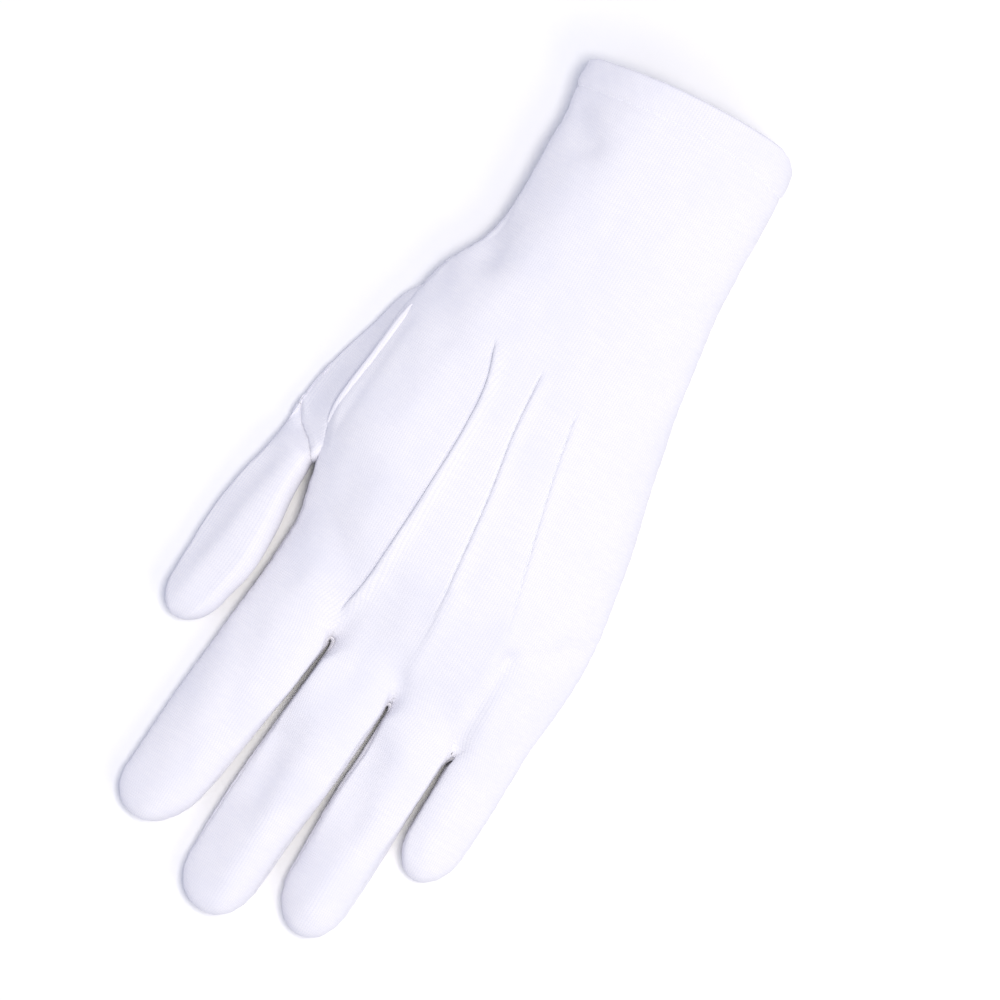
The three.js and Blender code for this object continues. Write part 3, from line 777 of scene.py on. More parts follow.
# Soft folds and dents of the cloth, each along a line from one place to another. Rise is in
# millimetres, less than 0 for a valley.
folds = {
    "back": table("start end width rise", [
        ((-27, -15), (-20, -21), 4.5, -1.5), ((-30, -51), (-28, -60), 4.5, -1.7),
        ((-38, -68), (-26, -84), 5.0, -0.8), ((32, -42), (27, -55), 4.0, -0.8),
        ((-20, -27), (-18, -60), 5.0, 0.3), ((-27, -128), (-31, -160), 6.0, -0.9),
        ((-22, -100), (-28, -125), 7.0, 0.4), ((33, -151), (33.4, -178), 2.4, -1.0),
        ((35, -151), (50, -138), 3.5, -1.0), ((13, -143), (13, -169), 2.2, 0.45),
        ((29, -143), (31.5, -160), 2.4, 0.4), ((-2, -150), (-1, -188), 5.5, -0.9),
        ((-10, -171), (-9.5, -160), 3.0, -0.7), ((12, -177), (12, -170), 2.2, -0.6),
        ((-17, -165), (-16, -186), 3.5, 0.4), ((-31, -178), (-24, -204), 4.5, -0.8),
        ((-7, -205), (-6, -216), 4.0, -0.8), ((-11, -199), (8, -203), 2.4, -0.4),
        ((7, -207), (0, -222), 3.5, 0.4), ((0.5, -222), (1, -247), 4.5, 0.7),
        ((17, -193), (20, -209), 6.0, -1.2), ((26, -206), (23, -236), 3.5, 0.7),
        ((37, -163), (40.5, -206), 3.2, 0.5), ((48, -190), (49, -207), 3.2, -0.5),
        ((-37, -86), (-39, -122), 1.6, -0.45)]),
    "palm": table("start end width rise", [
        ((-30, -92), (-18, -116), 4.5, -0.6), ((-18, -116), (-11, -138), 4.0, -0.4),
        ((-2, -137), (20, -133), 4.5, -0.35), ((20, -133), (42, -124), 4.5, -0.6),
        ((-20, -60), (-6, -84), 4.0, -0.7), ((38, -28), (14, -22), 3.0, -0.9),
        ((-27, -30), (-8, -52), 4.0, -0.5), ((26, -52), (34, -76), 3.5, -0.6)]),
    "thumb": table("start end width rise", [
        ((-45, -134), (-50.5, -178), 3.5, 0.4), ((-50, -140), (-54, -168), 3.0, -0.5),
        ((-46, -126), (-40, -132), 3.0, -0.5), ((-46, -92), (-49, -120), 3.5, -0.5)]),
}


# Broad slopes of the back, or of one finger's: its top sinks this far along a line, and its sides
# stay where they are.
slopes = table("start end width drop finger", [
    ((-33, 6), (-33, -52), 13, 5.7, ""),
    ((-37, -62), (-42, -76), 10, 3.5, ""),
    ((-44, -76), (-46, -122), 12, 2.5, ""),
    ((-43, -134), (-45, -232), 12, 5.2, ""),
    ((54, -108), (53, -206), 8, 2.5, ""),
    ((-14, -196), (-15, -243), 9, 5, "middle"),
    ((11, -190), (11.5, -236), 7, 3, "ring"),
])


def slopeDrop(co):
    total = np.zeros(len(co))
    owner = bodyOf(co)
    for slope in slopes:
        mine = owner == fingers.index(slope["finger"]) + 1 if slope["finger"] else True
        total += mine * slope["drop"] * bump(alongLine(slope, co), slope["width"])
    tall = np.interp(-co[:, 1], [130, 165], [14, 8.5])   # the back over the seams, then the fingers
    return total * np.clip(aboveSides(co) / tall, 0, 1)


# Distance from a fold's line, seen from above.
def alongLine(fold, co):
    start, along = np.array(fold["start"]), np.subtract(fold["end"], fold["start"])
    share = np.clip((co[:, :2] - start) @ along / (along @ along), 0, 1)
    return np.linalg.norm(co[:, :2] - start - share[:, None] * along, axis=1)


def foldRise(co, side):
    total = np.zeros(len(co))
    for fold in folds[side]:
        total += fold["rise"] * bump(alongLine(fold, co), fold["width"])
    return total


# A smooth, slow unevenness, longer along the fingers than across them.
unevenness = table("size stretch height", [(11, 2.2, 0.42), (4.5, 1.6, 0.1)])


def slack(co):
    total = np.zeros(len(co))
    for row in unevenness:
        scaled = co / (row["size"], row["size"] * row["stretch"], row["size"])
        total += row["height"] * np.array([noise.noise(Vector(point)) for point in scaled])
    return total


def seamPull(distance, co):
    gathers = np.sin(2 * math.pi * co[:, 1] / seams["puckerLength"] + co[:, 0] * 0.35)
    pucker = seams["pucker"] * gathers * bump(distance, seams["puckerWidth"])
    return -seams["depth"] * bump(distance, seams["depthWidth"]) + pucker


# The hem is pressed flatter in the middle of the back than at its sides.
def hemShape(co):
    past = co[:, 1] - hemAt("line", co[:, 0])
    waves = np.sin(2 * math.pi * (co[:, 0] + co[:, 1] * 0.8) / cuff["rippleLength"])
    ripple = cuff["ripple"] * waves * smoothStep(0, 2, past)
    kept = 1 - cuff["pressed"] * smoothStep(*cuff["pressedX"], co[:, 0]) * smoothStep(0, 6, aboveSides(co))
    swell = cuff["hemSwell"] * smoothStep(0, 1.2, past)
    return (swell - cuff["stitchGroove"] * bump(past, 0.7)) * kept + ripple


# Lays a skin down on its palm side, then moves its points along their normals and across.
def layDown(bm, rise, shift=0):
    nearTable = 0.6   # cloth lower than this rests, so it can't swell outwards
    co = readCo(bm)
    co[:, 2] = settle(co[:, 2])
    writeCo(bm, co)
    rise = np.where(co[:, 2] < nearTable, np.minimum(rise, 0), rise)
    co += readNormals(bm) * rise[:, None]
    co[:, 0] += shift
    co[:, 2] = np.maximum(co[:, 2], 0)
    writeCo(bm, co)


# By the webs the fingers are pressed together, so their facing sides stand straighter there.
pressed = {"from": 60, "full": 20, "nearWeb": 6,   # distances from the web towards the tip
           "share": 0.8, "most": 2.8}


def pressTogether(co):
    owner = bodyOf(co)
    for i, name in enumerate(fingers):
        center, half, middle, reach = digitSection(name, co[:, 1])
        across = (co[:, 0] - center) / half
        up = np.clip((co[:, 2] - middle) / reach, 0, 0.98)
        inset = half * (1 - arch(up))
        web = digits[name]["web"]
        near = smoothStep(web - pressed["from"], web - pressed["full"], co[:, 1])
        near = near * smoothStep(web + 2, web - pressed["nearWeb"], co[:, 1])
        facing = (across > 0) * (name != "little") | (across < 0) * (name != "index")
        weight = smoothStep(0.25, 0.75, np.abs(across)) * near * facing * (owner == i + 1)
        co[:, 0] += np.sign(across) * np.minimum(inset * pressed["share"], pressed["most"]) * weight
    return co


def shapeHand(bm):
    co = pressTogether(readCo(bm))
    back = smoothStep(-1, 5, aboveSides(co))
    fromThumb = np.where(byThumb(co), smoothStep(1.0, 1.7, bodyValue("thumb", co)), 1)
    rise = foldRise(co, "back") * back + foldRise(co, "palm") * (1 - back) * fromThumb
    rise += slack(co) + hemShape(co)
    strips = facingSide(co)
    toMouth = smoothStep(0, 5, hemAt("edge", co[:, 0]) - co[:, 1])
    rise += np.where(strips, 0.6 * seamPull(pastStrip(co), co), toMouth * seamPull(aboveSides(co), co))
    shift, up = pointMoves(co)
    co[:, 2] -= slopeDrop(co)
    writeCo(bm, co)
    layDown(bm, rise + up, shift)


# How far a digit's upper half sinks so that it stays below an allowed height over its middle.
def pressBelow(co, name, allowed):
    center, half, middle, reach = digitSection(name, co[:, 1])
    top = np.maximum(reach * arch((co[:, 0] - center) / half), 0.1)
    return -np.maximum(top - allowed, 0) * np.clip((co[:, 2] - middle) / top, 0, 1) ** 1.5


# The gusset slopes down from the hand's edge to the outline, drawn tight by the thumb.
gusset = {"top": 13.5, "fall": 7.2,   # its height by the hand, and how far it falls to the outline
          "lowEnd": (-133, -124), "highEnd": (-74, -86)}   # the slope starts and is full at these y


def gussetSlope(co):
    center, half, middle, _ = digitSection("thumb", co[:, 1])
    palm = handSection(np.clip(handStation(co), -160, 0))
    inside = np.maximum(palm[0] - palm[1] + 1, center - half + 2)
    share = np.clip((inside - co[:, 0]) / (inside - center + half), 0, 1)
    along = smoothStep(*gusset["lowEnd"], co[:, 1]) * smoothStep(*gusset["highEnd"], co[:, 1])
    return pressBelow(co, "thumb", gusset["top"] - gusset["fall"] * share - middle) * along


# The thumb's back: how much it leans to its outline, and how steeply it falls past a soft ridge.
thumbBack = {"lean": 0.18, "fall": 0.75, "half": 9, "softness": 2, "start": (-122, -136),
             "ridge": table("y x", [(-182, -52.3), (-165, -51.3), (-150, -49.2), (-133, -45)])}


def shapeThumb(bm):
    co = readCo(bm)
    co[:, 2] += gussetSlope(co)
    writeCo(bm, co)
    center, half, _, reach = digitSection("thumb", co[:, 1])
    past = straightAt(thumbBack["ridge"], "y", "x", co[:, 1]) - co[:, 0]
    past = (past + np.sqrt(past ** 2 + thumbBack["softness"])) / 2
    allowed = reach - thumbBack["lean"] * (center + half - co[:, 0])
    allowed = allowed - thumbBack["fall"] * past * half / thumbBack["half"]
    co[:, 2] += pressBelow(co, "thumb", allowed) * smoothStep(*thumbBack["start"], co[:, 1])
    writeCo(bm, co)
    join = pastThumbJoin(co)
    rise = foldRise(co, "thumb") * smoothStep(4, 10, co[:, 2]) + slack(co)
    rise += seamPull(join, co)
    rise += seams["thumbStep"] * (bump(join - 1.6, 1.3) - bump(join + 1.2, 1.3))
    co[:, 2] += 6 * np.maximum(1 - bodyValue("hand", co), 0) * (co[:, 2] < 6)   # the allowance is inside
    writeCo(bm, co)
    layDown(bm, rise)


print("sewing and folding the cloth")
scorePoints(hand)
nameFaces(hand)
nameFaces(thumb, thumbSkin=True)
shapeHand(hand)
shapeThumb(thumb)
closeThumbSeam(hand, thumb)
turnInHems(hand)
print("hand", len(hand.faces), "faces, thumb", len(thumb.faces))


# The knit, in millimetres, and its colours.
knit = {
    "wale": 0.85,       # real wales are 0.7 mm apart, too fine to show at this size, so a bit coarser
    "course": 0.7,
    "height": 0.09,
    "thumbRound": 8.3,   # radius that the thumb's cloth is wrapped round
    "slub": (0.16, 0.9, 0),   # thick and thin yarn: streaks in each millimetre, across and along
    "white": "#F7F5F7",
    # painted shade for the hollows between the loops, also the colour of the slubs
    "hollow": "#E3E3ED",
    "worn": "#E9E9F2",
}


# Where each point lies on the knit, in millimetres: across the wales, then along them.
def knitPlace(co, name):
    if name.startswith("fourchette"):
        return co[:, 2], co[:, 1]
    if name.startswith("thumb"):
        center, half, middle, reach = digitSection("thumb", np.maximum(co[:, 1], -176))
        turn = np.arctan2((co[:, 2] - middle) / reach, (co[:, 0] - center) / half)
        return knit["thumbRound"] * turn, co[:, 1]

    def fromMiddle(section):
        center, half, middle, reach = section
        side = np.clip((co[:, 0] - center) / (0.25 * half), -1, 1)
        down = co[:, 2] - middle + reach if name == "palm_panel" else middle + reach - co[:, 2]
        return side * down

    onHand = fromMiddle(handSection(np.clip(handStation(co), -169, 14)))
    centers = np.array([digitSection(finger, co[:, 1])[0] for finger in fingers])
    nearest = np.argmin(np.abs(co[:, 0] - centers), axis=0)
    onFingers = np.choose(nearest, [fromMiddle(digitSection(finger, co[:, 1])) for finger in fingers])
    share = smoothStep(-158, -178, handStation(co))
    return co[:, 0] + onHand * (1 - share) + onFingers * share, co[:, 1]


# Turns a mesh in millimetres into a piece of the frame, in metres.
def makePiece(name, bm, replaced, smoothBelow=50):
    mesh = bpy.data.meshes.new(name)
    for vert in bm.verts:
        vert.co = (vert.co + toFrame) / 1000
    bm.to_mesh(mesh)
    bm.free()
    mesh.shade_smooth()
    mesh.set_sharp_from_angle(angle=math.radians(smoothBelow))
    piece = bpy.data.objects.new(name, mesh)
    bpy.context.scene.collection.objects.link(piece)
    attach(piece, "root")
    if replaced:
        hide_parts(replaced)
    return piece


# The scene's name for the piece that replaces a node.
def pieceName(node):
    words = node.split("_") if node != "thumb" else ["thumb", "tube"]
    return words[0] + "".join(word.title() for word in words[1:])


def cutPanel(skin, number):
    bm = skin.copy()
    panel = bm.faces.layers.int["panel"]
    others = [face for face in bm.faces if face[panel] != number]
    bmesh.ops.delete(bm, geom=others, context="FACES")
    name = panelNames[number]
    across, along = knitPlace(readCo(bm), name)
    weave = bm.loops.layers.uv.new("weave")
    for face in bm.faces:
        places = across[[loop.vert.index for loop in face.loops]]
        if name.startswith("thumb") and np.ptp(places) > 4:   # millimetres: the cloth closes here
            places = np.where(places < 0, places + 2 * math.pi * knit["thumbRound"], places)
        for loop, place in zip(face.loops, places):
            loop[weave].uv = (place, along[loop.vert.index])
    piece = makePiece(pieceName(name), bm, name)
    wall = piece.modifiers.new("wall", "SOLIDIFY")
    wall.thickness = glove["wall"] / 1000
    wall.offset = -1
    return piece


handTree = BVHTree.FromBMesh(hand)
clothPieces = [cutPanel(hand, number) for number in range(5)]
clothPieces += [cutPanel(thumb, number) for number in (5, 6)]
print("panels cut:", ", ".join(piece.name for piece in clothPieces))


# A closed tube with a section that may be flat, along a path; up says which way its top faces.
def addTube(bm, path, ups, width, height, sides, ends=0.6, taper=1):
    path = [Vector(point) for point in path]
    rows = []
    for i, point in enumerate(path):
        along = (path[min(i + 1, len(path) - 1)] - path[max(i - 1, 0)]).normalized()
        side = along.cross(Vector(ups[i])).normalized()
        top = side.cross(along)
        size = ends + (1 - ends) * math.sqrt(min(1, min(i, len(path) - 1 - i) / taper))
        row = []
        for k in range(sides):
            turn = 2 * math.pi * k / sides
            row.append(bm.verts.new(point + side * math.cos(turn) * width / 2 * size
                                    + top * math.sin(turn) * height / 2 * size))
        rows.append(row)
    for upper, lower in zip(rows, rows[1:]):
        for k in range(sides):
            j = (k + 1) % sides
            bm.faces.new((upper[k], upper[j], lower[j], lower[k]))
    bm.faces.new(rows[0][::-1])
    bm.faces.new(rows[-1])


# Lays the knit along a tube of cloth.
def weaveTube(bm):
    bmesh.ops.recalc_face_normals(bm, faces=bm.faces)
    weave = bm.loops.layers.uv.new("weave")
    for face in bm.faces:
        for loop in face.loops:
            loop[weave].uv = (loop.vert.co.x + loop.vert.co.z, loop.vert.co.y)


# The rolled rim on the little finger's side of the slit.
rim = {"width": 3.4, "height": 2.4, "start": 97, "end": -100, "steps": 76, "sides": 20, "gather": 0.1,
       "underFlap": [(5.5, -22.5), (7.0, -25.3), (8.4, -28)]}


def slitPoint(turn, out=0):
    x = cuff["slitX"] + (cuff["slitHalfWidth"] + out) * math.cos(turn)
    y = cuff["slitY"] + (cuff["slitHalfLength"] + out) * math.sin(turn)
    return x, y


def makeRim():
    bm = bmesh.new()
    path = [(x, y, lapHeight(x, y) + glove["wall"] / 2) for x, y in rim["underFlap"]]
    for i in range(rim["steps"] + 1):
        turn = math.radians(rim["start"] + (rim["end"] - rim["start"]) * i / rim["steps"])
        x, y = slitPoint(turn)
        height = lapHeight(*slitPoint(turn, 0.8)) + glove["wall"] / 2
        path.append((x, y, height + rim["gather"] * math.sin(i * 1.9)))
    ups = [(0, 0, -1)] * len(path)
    addTube(bm, path, ups, rim["width"], rim["height"], rim["sides"], ends=0.2, taper=5)
    weaveTube(bm)
    return makePiece("ventBinding", bm, "vent_binding")


# The back panel's edge by the thumb is folded into a narrow flat welt.
welt = {"width": 2.0, "height": 1.1, "sides": 16, "step": 0.8, "lift": 0.25, "rows": table("y x", [
    (-82, -38.3), (-92, -39.1), (-100, -39.9), (-108, -40.9), (-116, -41.5), (-122, -41.1),
    (-126.5, -39.8)])}


def makeWelt():
    bm = bmesh.new()
    path = []
    for y in np.arange(welt["rows"][0]["y"], welt["rows"][-1]["y"], -welt["step"]):
        start = Vector((columnAt(welt["rows"], "x", y), y, 60))
        place, _, _, _ = handTree.ray_cast(start, Vector((0, 0, -1)))
        if place is not None:
            path.append(place[:] + np.array((0, 0, welt["lift"])))
    path = np.array(path)
    ends = np.array([(i, i + 1) for i in range(len(path) - 1)])
    inner = np.clip(np.minimum(np.arange(len(path)), np.arange(len(path))[::-1]) / 3, 0, 1)
    path = relax(path, ends, 12, inner)
    addTube(bm, path, [(0.1, 0, 1)] * len(path), welt["width"], welt["height"], welt["sides"],
            ends=0.15, taper=8)
    weaveTube(bm)
    return makePiece("thumbWelt", bm, None)


# The snap: each part is turned, from rows of radius and height above the piece's lowest point.
snap = {"x": 2, "y": -15.5, "sides": 72}
snapProfiles = {
    "snap_cap": dict(slot="snap_enamel", rows=[
        (0, 0), (1.2, 0.02), (2.4, 0.1), (3.6, 0.28), (4.7, 0.6), (5.6, 1.02), (6.3, 1.5), (6.75, 1.95),
        (6.97, 2.3), (7, 2.5), (6.9, 2.68), (6.6, 2.7), (1.4, 2.7), (1.4, 4.5), (0, 4.5)]),
    "snap_socket": dict(slot="snap_metal", rows=[
        (2.5, 0.05), (2.6, 0), (4.9, 0), (5, 0.1), (5, 0.75), (4.85, 0.95), (4.2, 1.15), (3.9, 1.5),
        (3.75, 1.6), (2.9, 1.6), (2.65, 1.55), (2.5, 1.4), (2.5, 0.05)]),
    "snap_stud": dict(slot="snap_metal", rows=[
        (0, 0), (1.3, 0), (1.75, 0.15), (2.1, 0.4), (2.2, 0.7), (2.15, 1.0), (2.0, 1.3), (2.0, 1.55),
        (2.2, 1.6), (4.2, 1.6), (4.4, 1.7), (4.4, 2.0), (4.2, 2.1), (1.4, 2.1), (1.4, 3.9), (4.2, 3.9),
        (4.4, 4.0), (4.35, 4.3), (4.0, 4.62), (3.4, 4.7), (0, 4.7)]),
}


def makeSnapPart(name):
    rows = snapProfiles[name]["rows"]
    low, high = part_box(name)
    tall = (high.z - low.z) * 1000
    scale = tall / max(height for _, height in rows)
    bm = bmesh.new()
    rings = []
    for radius, height in rows:
        z = low.z * 1000 + height * scale
        count = 1 if radius == 0 else snap["sides"]
        turns = [2 * math.pi * k / count for k in range(count)]
        rings.append([bm.verts.new((snap["x"] + radius * math.cos(turn),
                                    snap["y"] + radius * math.sin(turn), z)) for turn in turns])
    for lower, upper in zip(rings, rings[1:]):
        for k in range(snap["sides"]):
            j = (k + 1) % snap["sides"]
            corners = [lower[k % len(lower)], lower[j % len(lower)],
                       upper[j % len(upper)], upper[k % len(upper)]]
            bm.faces.new(list(dict.fromkeys(corners)))
    bmesh.ops.remove_doubles(bm, verts=bm.verts, dist=1e-4)
    bmesh.ops.recalc_face_normals(bm, faces=bm.faces)
    return makePiece(pieceName(name), bm, name, smoothBelow=40)


binding = makeRim()
thumbWelt = makeWelt()
snapPieces = [makeSnapPart(name) for name in snapProfiles]
print("binding and snap made")


# Cotton sewing thread, laid in short stitches on the cloth.
thread = {
    "thickness": 0.26, "stitch": 2.2, "pitch": 2.7, "sides": 6,
    "lift": 0.06,           # a stitch bows this far out of the cloth, and dips into it at its ends
    "bow": table("share lift", [(0, -0.9), (0.14, 0.3), (0.32, 0.9), (0.5, 1), (0.68, 0.9),
                                (0.86, 0.3), (1, -0.9)]),
    "longestJump": 1.6,     # a wider gap between two places breaks the line
    "hemFrom": -93.5, "hemTo": 262,   # the hem's line round the cuff, in degrees
    "fromRim": 5.2,         # the line beside the slit
    "besidePoint": 0.62, "pointEnds": (-163, -146, -138),
}


def castOnto(origin, direction):
    place, normal, _, _ = handTree.ray_cast(Vector(origin), Vector(direction).normalized())
    return place, normal


# Stitches along a line of places on the cloth, evenly spaced; the line breaks where it jumps.
def sew(bm, line):
    line = [item for item in line if item[0] is not None and item[1].length > 0.5]
    places = np.array([place[:] for place, _ in line])
    jumps = np.linalg.norm(np.diff(places, axis=0), axis=1)
    breaks = np.flatnonzero(jumps > thread["longestJump"]) + 1
    for start, end in zip([0, *breaks], [*breaks, len(line)]):
        if end - start > 5:
            sewRun(bm, line[start:end])


def sewRun(bm, line):
    places = np.array([place[:] for place, _ in line])
    normals = np.array([normal[:] for _, normal in line])
    gone = np.concatenate([[0], np.cumsum(np.linalg.norm(np.diff(places, axis=0), axis=1))])
    for start in np.arange(0.5, gone[-1] - thread["stitch"], thread["pitch"]):
        path, ups = [], []
        for row in thread["bow"]:
            s = start + row["share"] * thread["stitch"]
            place, up = (np.array([np.interp(s, gone, column) for column in values.T])
                         for values in (places, normals))
            up /= np.linalg.norm(up)
            path.append(place + up * row["lift"] * thread["lift"])
            ups.append(up)
        addTube(bm, path, ups, thread["thickness"], thread["thickness"], thread["sides"])


# The stitch line of the hem, all round the cuff apart from where the flap covers it.
def hemLine():
    line = []
    for turn in np.radians(np.arange(thread["hemFrom"], thread["hemTo"], 1.0)):
        aim = Vector((math.cos(turn), 0, math.sin(turn)))
        y = -5.0
        for _ in range(3):   # the line slants, so its place is found in a few steps
            place, normal = castOnto(Vector((1, y, 16)) + aim * 60, -aim)
            if place is None:
                break
            y = float(hemAt("line", place.x))
        line.append((place, normal))
    return line


def rimLine():
    line = []
    for degrees in range(82, -80, -3):
        x, y = slitPoint(math.radians(degrees), thread["fromRim"])
        line.append(castOnto((x, y, -20), (0, 0, 1)))
    return line


def pointLine(rows, end):
    line = []
    for y in np.arange(rows[0]["y"] - 1.5, end, -0.6):
        x = float(columnAt(rows, "x", y)) - thread["besidePoint"]
        line.append(castOnto((x, y, 60), (0, 0, -1)))
    return line


def makeStitching():
    bm = bmesh.new()
    sew(bm, hemLine())
    sew(bm, rimLine())
    for rows, end in zip(pointLines, thread["pointEnds"]):
        sew(bm, pointLine(rows, end))
    bmesh.ops.recalc_face_normals(bm, faces=bm.faces)
    return makePiece("stitching", bm, None)


stitching = makeStitching()
print("stitching sewn,", len(stitching.data.polygons), "faces")


# One sRGB hex colour, turned linear.
def linear(color):
    parts = [int(color[i:i + 2], 16) / 255 for i in (1, 3, 5)]
    return [part / 12.92 if part <= 0.04045 else ((part + 0.055) / 1.055) ** 2.4 for part in parts] + [1]


# Adds a node with its settings; an input is a value, another node's output, or a node for its first.
def addNode(tree, kind, inputs=None, **settings):
    made = tree.nodes.new("ShaderNode" + kind)
    for key, value in settings.items():
        setattr(made, key, value)
    for key, value in (inputs or {}).items():
        value = value.outputs[0] if isinstance(value, bpy.types.Node) else value
        if isinstance(value, bpy.types.NodeSocket):
            tree.links.new(value, made.inputs[key])
        else:
            made.inputs[key].default_value = value
    return made


def newMaterial(name):
    material = bpy.data.materials.new(name)
    material.use_nodes = True
    material.node_tree.nodes.clear()
    return material, material.node_tree


# Bleached cotton, knitted as fine interlock and pressed: quite matt, a cool white from the
# brightener in it, with wales along the fingers and a soft nap that lightens its edges.
def cottonKnit():
    material, tree = newMaterial("bleached cotton knit")
    place = addNode(tree, "UVMap", uv_map="weave")
    split = addNode(tree, "SeparateXYZ", {0: place})
    body = addNode(tree, "TexCoord").outputs["Object"]
    # the wales wander a little, and each is a rib of slanted loops
    wander = addNode(tree, "TexNoise", {"Vector": body, "Scale": 260, "Detail": 1})
    strayed = addNode(tree, "Math", {0: wander, 1: 0.5, 2: split.outputs[0]}, operation="MULTIPLY_ADD")
    wale = addNode(tree, "Math", {0: strayed, 1: knit["wale"]}, operation="DIVIDE")
    saw = addNode(tree, "Math", {0: wale}, operation="FRACT")
    centered = addNode(tree, "Math", {0: saw, 1: 2, 2: -1}, operation="MULTIPLY_ADD")
    leg = addNode(tree, "Math", {0: centered}, operation="ABSOLUTE")
    course = addNode(tree, "Math", {0: split.outputs[1], 1: 1 / knit["course"]}, operation="MULTIPLY")
    slanted = addNode(tree, "Math", {0: leg, 1: 0.6, 2: course}, operation="MULTIPLY_ADD")
    turns = addNode(tree, "Math", {0: slanted, 1: 2 * math.pi}, operation="MULTIPLY")
    loops = addNode(tree, "Math", {0: turns}, operation="COSINE")
    rounded = addNode(tree, "Math", {0: leg, 1: 2}, operation="POWER")
    rib = addNode(tree, "Math", {0: rounded, 1: -0.6, 2: 1}, operation="MULTIPLY_ADD")
    height = addNode(tree, "Math", {0: loops, 1: 0.22, 2: rib}, operation="MULTIPLY_ADD")
    fuzz = addNode(tree, "TexNoise", {"Vector": body, "Scale": 3800, "Detail": 3, "Roughness": 0.7})
    napped = addNode(tree, "Math", {0: fuzz, 1: 0.9, 2: height}, operation="MULTIPLY_ADD")
    relief = addNode(tree, "Bump", {"Strength": 0.55, "Distance": knit["height"] / 1000,
                                    "Height": napped})
    # white on top of the loops and a cooler painted shade in the hollows between them, where the loops
    # would shade each other; the same cool colour in slubs, and another in worn patches
    shade = addNode(tree, "MapRange", {"Value": napped, "From Min": 0.4, "From Max": 1.7})
    streaks = addNode(tree, "VectorMath", {0: place, 1: knit["slub"]}, operation="MULTIPLY")
    slubs = addNode(tree, "TexNoise", {"Vector": streaks, "Scale": 1, "Detail": 2})
    slub = addNode(tree, "MapRange", {"Value": slubs, "From Min": 0.35, "From Max": 0.65,
                                      "To Max": 0.22})
    patches = addNode(tree, "TexNoise", {"Vector": body, "Scale": 55, "Detail": 4, "Roughness": 0.6})
    patch = addNode(tree, "MapRange", {"Value": patches, "From Min": 0.45, "From Max": 0.7,
                                       "To Max": 0.5})
    # the cloth starts from the painted shade of the hollows, and the tops of the loops mix it towards
    # white
    color = linear(knit["hollow"])
    for share, tint in ((shade, "white"), (slub, "hollow"), (patch, "worn")):
        color = addNode(tree, "Mix", {"Factor": share, 6: color, 7: linear(knit[tint])},
                        data_type="RGBA").outputs[2]
    rough = addNode(tree, "MapRange", {"Value": patches, "To Min": 0.82, "To Max": 0.95})
    shader = addNode(tree, "BsdfPrincipled", {
        "Base Color": color, "Roughness": rough, "IOR": 1.46,
        "Sheen Weight": 0.06, "Sheen Roughness": 0.5, "Normal": relief})
    addNode(tree, "OutputMaterial", {"Surface": shader})
    return material


# A finish with a fine grain in its surface. Spots, or the grain itself, vary its colour and
# roughness between two values each.
def grainedFinish(name, grain, strength, depth, colors, rough, shading, spots=None):
    material, tree = newMaterial(name)
    body = addNode(tree, "TexCoord").outputs["Object"]
    fine = addNode(tree, "TexNoise", {"Vector": body, **grain})
    spotted = addNode(tree, "TexNoise", {"Vector": body, **spots}) if spots else fine
    relief = addNode(tree, "Bump", {"Strength": strength, "Distance": depth, "Height": fine})
    color = addNode(tree, "Mix", {"Factor": spotted, 6: linear(colors[0]), 7: linear(colors[1])},
                    data_type="RGBA").outputs[2]
    roughness = addNode(tree, "MapRange", {"Value": spotted, **rough})
    shader = addNode(tree, "BsdfPrincipled", {
        "Base Color": color, "Roughness": roughness, "Normal": relief, **shading})
    addNode(tree, "OutputMaterial", {"Surface": shader})
    return material


# Spun cotton thread, two-ply and mercerised: a slight lustre, with a twist along each stitch.
def cottonThread():
    return grainedFinish("mercerised cotton thread", {"Scale": 3000, "Detail": 2}, 0.5, 0.00005,
                         ("#E9EBF1", "#F9F9FB"), {"To Min": 0.55, "To Max": 0.75},
                         {"IOR": 1.5, "Sheen Weight": 0.15})


# Steel cap, pressed and coated with baked white enamel: a smooth satin gloss with a faint
# orange-peel and fine rub marks where it meets the table.
def bakedEnamel():
    return grainedFinish("baked white enamel", {"Scale": 900, "Detail": 1}, 0.12, 0.0001,
                         ("#ECECEA", "#F8F8F7"),
                         {"From Min": 0.3, "From Max": 0.75, "To Min": 0.18, "To Max": 0.36},
                         {"IOR": 1.5}, spots={"Scale": 350, "Detail": 6, "Roughness": 0.7})


# Pressed brass, nickel plated: a bright cool metal, with hairlines from the press.
def nickelPlate():
    return grainedFinish("nickel plate", {"Scale": 1500, "Detail": 4}, 0.1, 0.00005,
                         ("#B4B2AC", "#D6D4CE"), {"To Min": 0.2, "To Max": 0.4}, {"Metallic": 1.0})


# Seamless white backdrop paper: matt, with no texture of its own.
def backdropPaper():
    material, tree = newMaterial("backdrop paper")
    shader = addNode(tree, "BsdfPrincipled", {
        "Base Color": linear("#FCFCFC"), "Roughness": 0.9, "Specular IOR Level": 0.2})
    addNode(tree, "OutputMaterial", {"Surface": shader})
    return material


cotton = cottonKnit()
for piece in clothPieces + [binding, thumbWelt]:
    piece.data.materials.append(cotton)
stitching.data.materials.append(cottonThread())
enamel, nickel = bakedEnamel(), nickelPlate()
for piece, finish in zip(snapPieces, (enamel, nickel, nickel)):
    piece.data.materials.append(finish)
print("materials made")

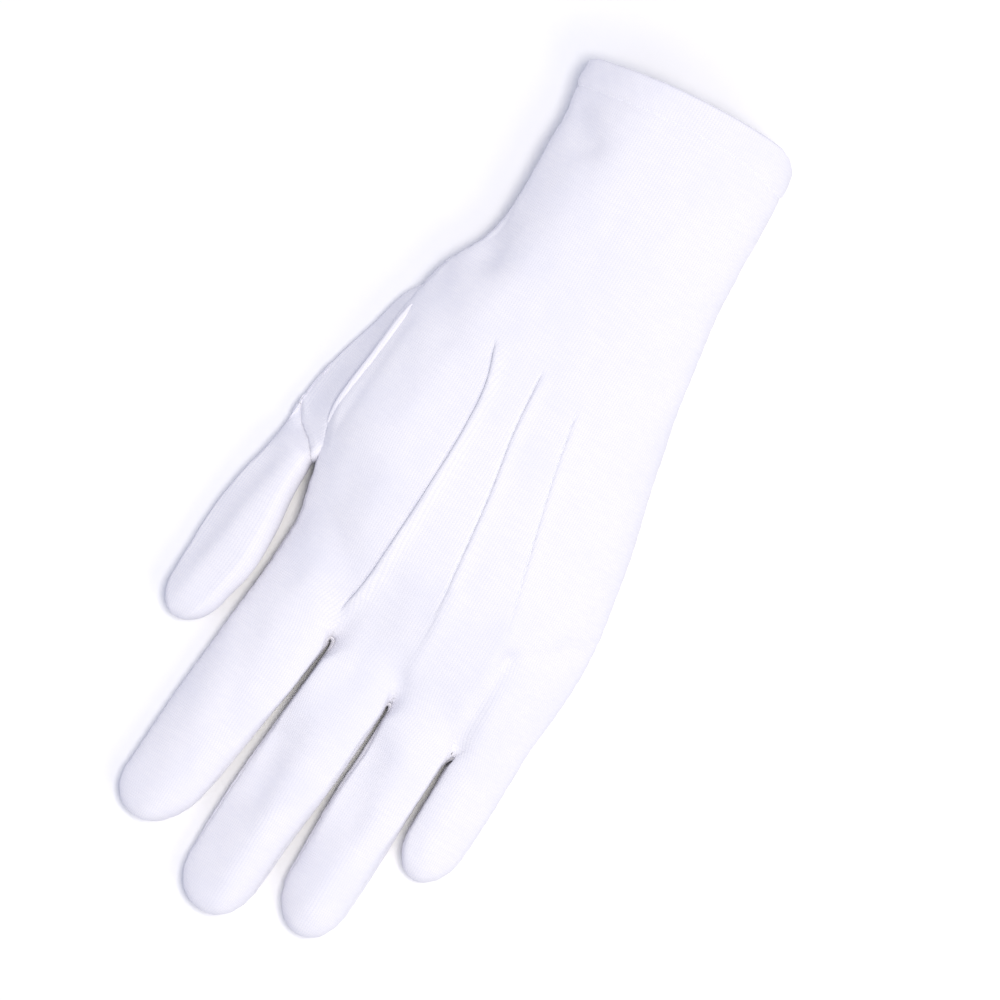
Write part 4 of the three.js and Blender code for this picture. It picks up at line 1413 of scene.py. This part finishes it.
# The studio: backdrop paper, a strong light nearly overhead and a weaker, wider one from the little
# finger's side, both warm, a blue sky that fills the shade, and a camera straight above.
studio = {
    "aim": (9.3, -115.0, 11),   # what the picture's middle shows, in the glove's own frame
    "turn": 31.0,               # degrees from the glove's axis to the picture's
    "frameWidth": 0.27,         # metres across the picture
    "lens": 300,
    "keyPower": 4.9, "keySize": 0.8, "keyFrom": (0.93, -0.25, 1.15), "keyColor": "#FFF9E6",
    "topPower": 15, "topSize": 0.4, "topFrom": (0.18, 0.1, 1.69), "topColor": "#FFFAF0",
    "sky": "#E0E5FF", "skyStrength": 0.6,
    "paperSize": 8.0,
}


def aimAt(thing, target):
    thing.rotation_euler = (target - thing.location).to_track_quat("-Z", "Y").to_euler()


def addLight(name, target):
    data = bpy.data.lights.new(name, "AREA")
    data.energy = studio[name + "Power"]
    data.size = studio[name + "Size"]
    data.color = linear(studio[name + "Color"])[:3]
    light = bpy.data.objects.new(name, data)
    light.location = target + Vector(studio[name + "From"])
    aimAt(light, target)
    bpy.context.scene.collection.objects.link(light)


def makeStudio():
    target = (Vector(studio["aim"]) + toFrame) / 1000
    bm = bmesh.new()
    bmesh.ops.create_grid(bm, x_segments=2, y_segments=2, size=studio["paperSize"] / 2)
    mesh = bpy.data.meshes.new("paper")
    bm.to_mesh(mesh)
    bm.free()
    paper = bpy.data.objects.new("paper", mesh)
    paper.data.materials.append(backdropPaper())
    bpy.context.scene.collection.objects.link(paper)
    for name in ("key", "top"):
        addLight(name, target)
    world = bpy.data.worlds.new("sky")
    world.use_nodes = True
    sky = world.node_tree.nodes["Background"]
    sky.inputs["Color"].default_value = linear(studio["sky"])
    sky.inputs["Strength"].default_value = studio["skyStrength"]
    bpy.context.scene.world = world
    data = bpy.data.cameras.new("camera")
    data.lens = studio["lens"]
    data.clip_start = 0.01
    camera = bpy.data.objects.new("camera", data)
    distance = studio["frameWidth"] * data.lens / data.sensor_width
    camera.location = target + Vector((0, 0, distance))
    camera.rotation_euler = (0, 0, math.radians(studio["turn"]))
    bpy.context.scene.collection.objects.link(camera)
    bpy.context.scene.camera = camera
    bpy.context.scene.view_settings.view_transform = "Standard"


makeStudio()
print("studio set")
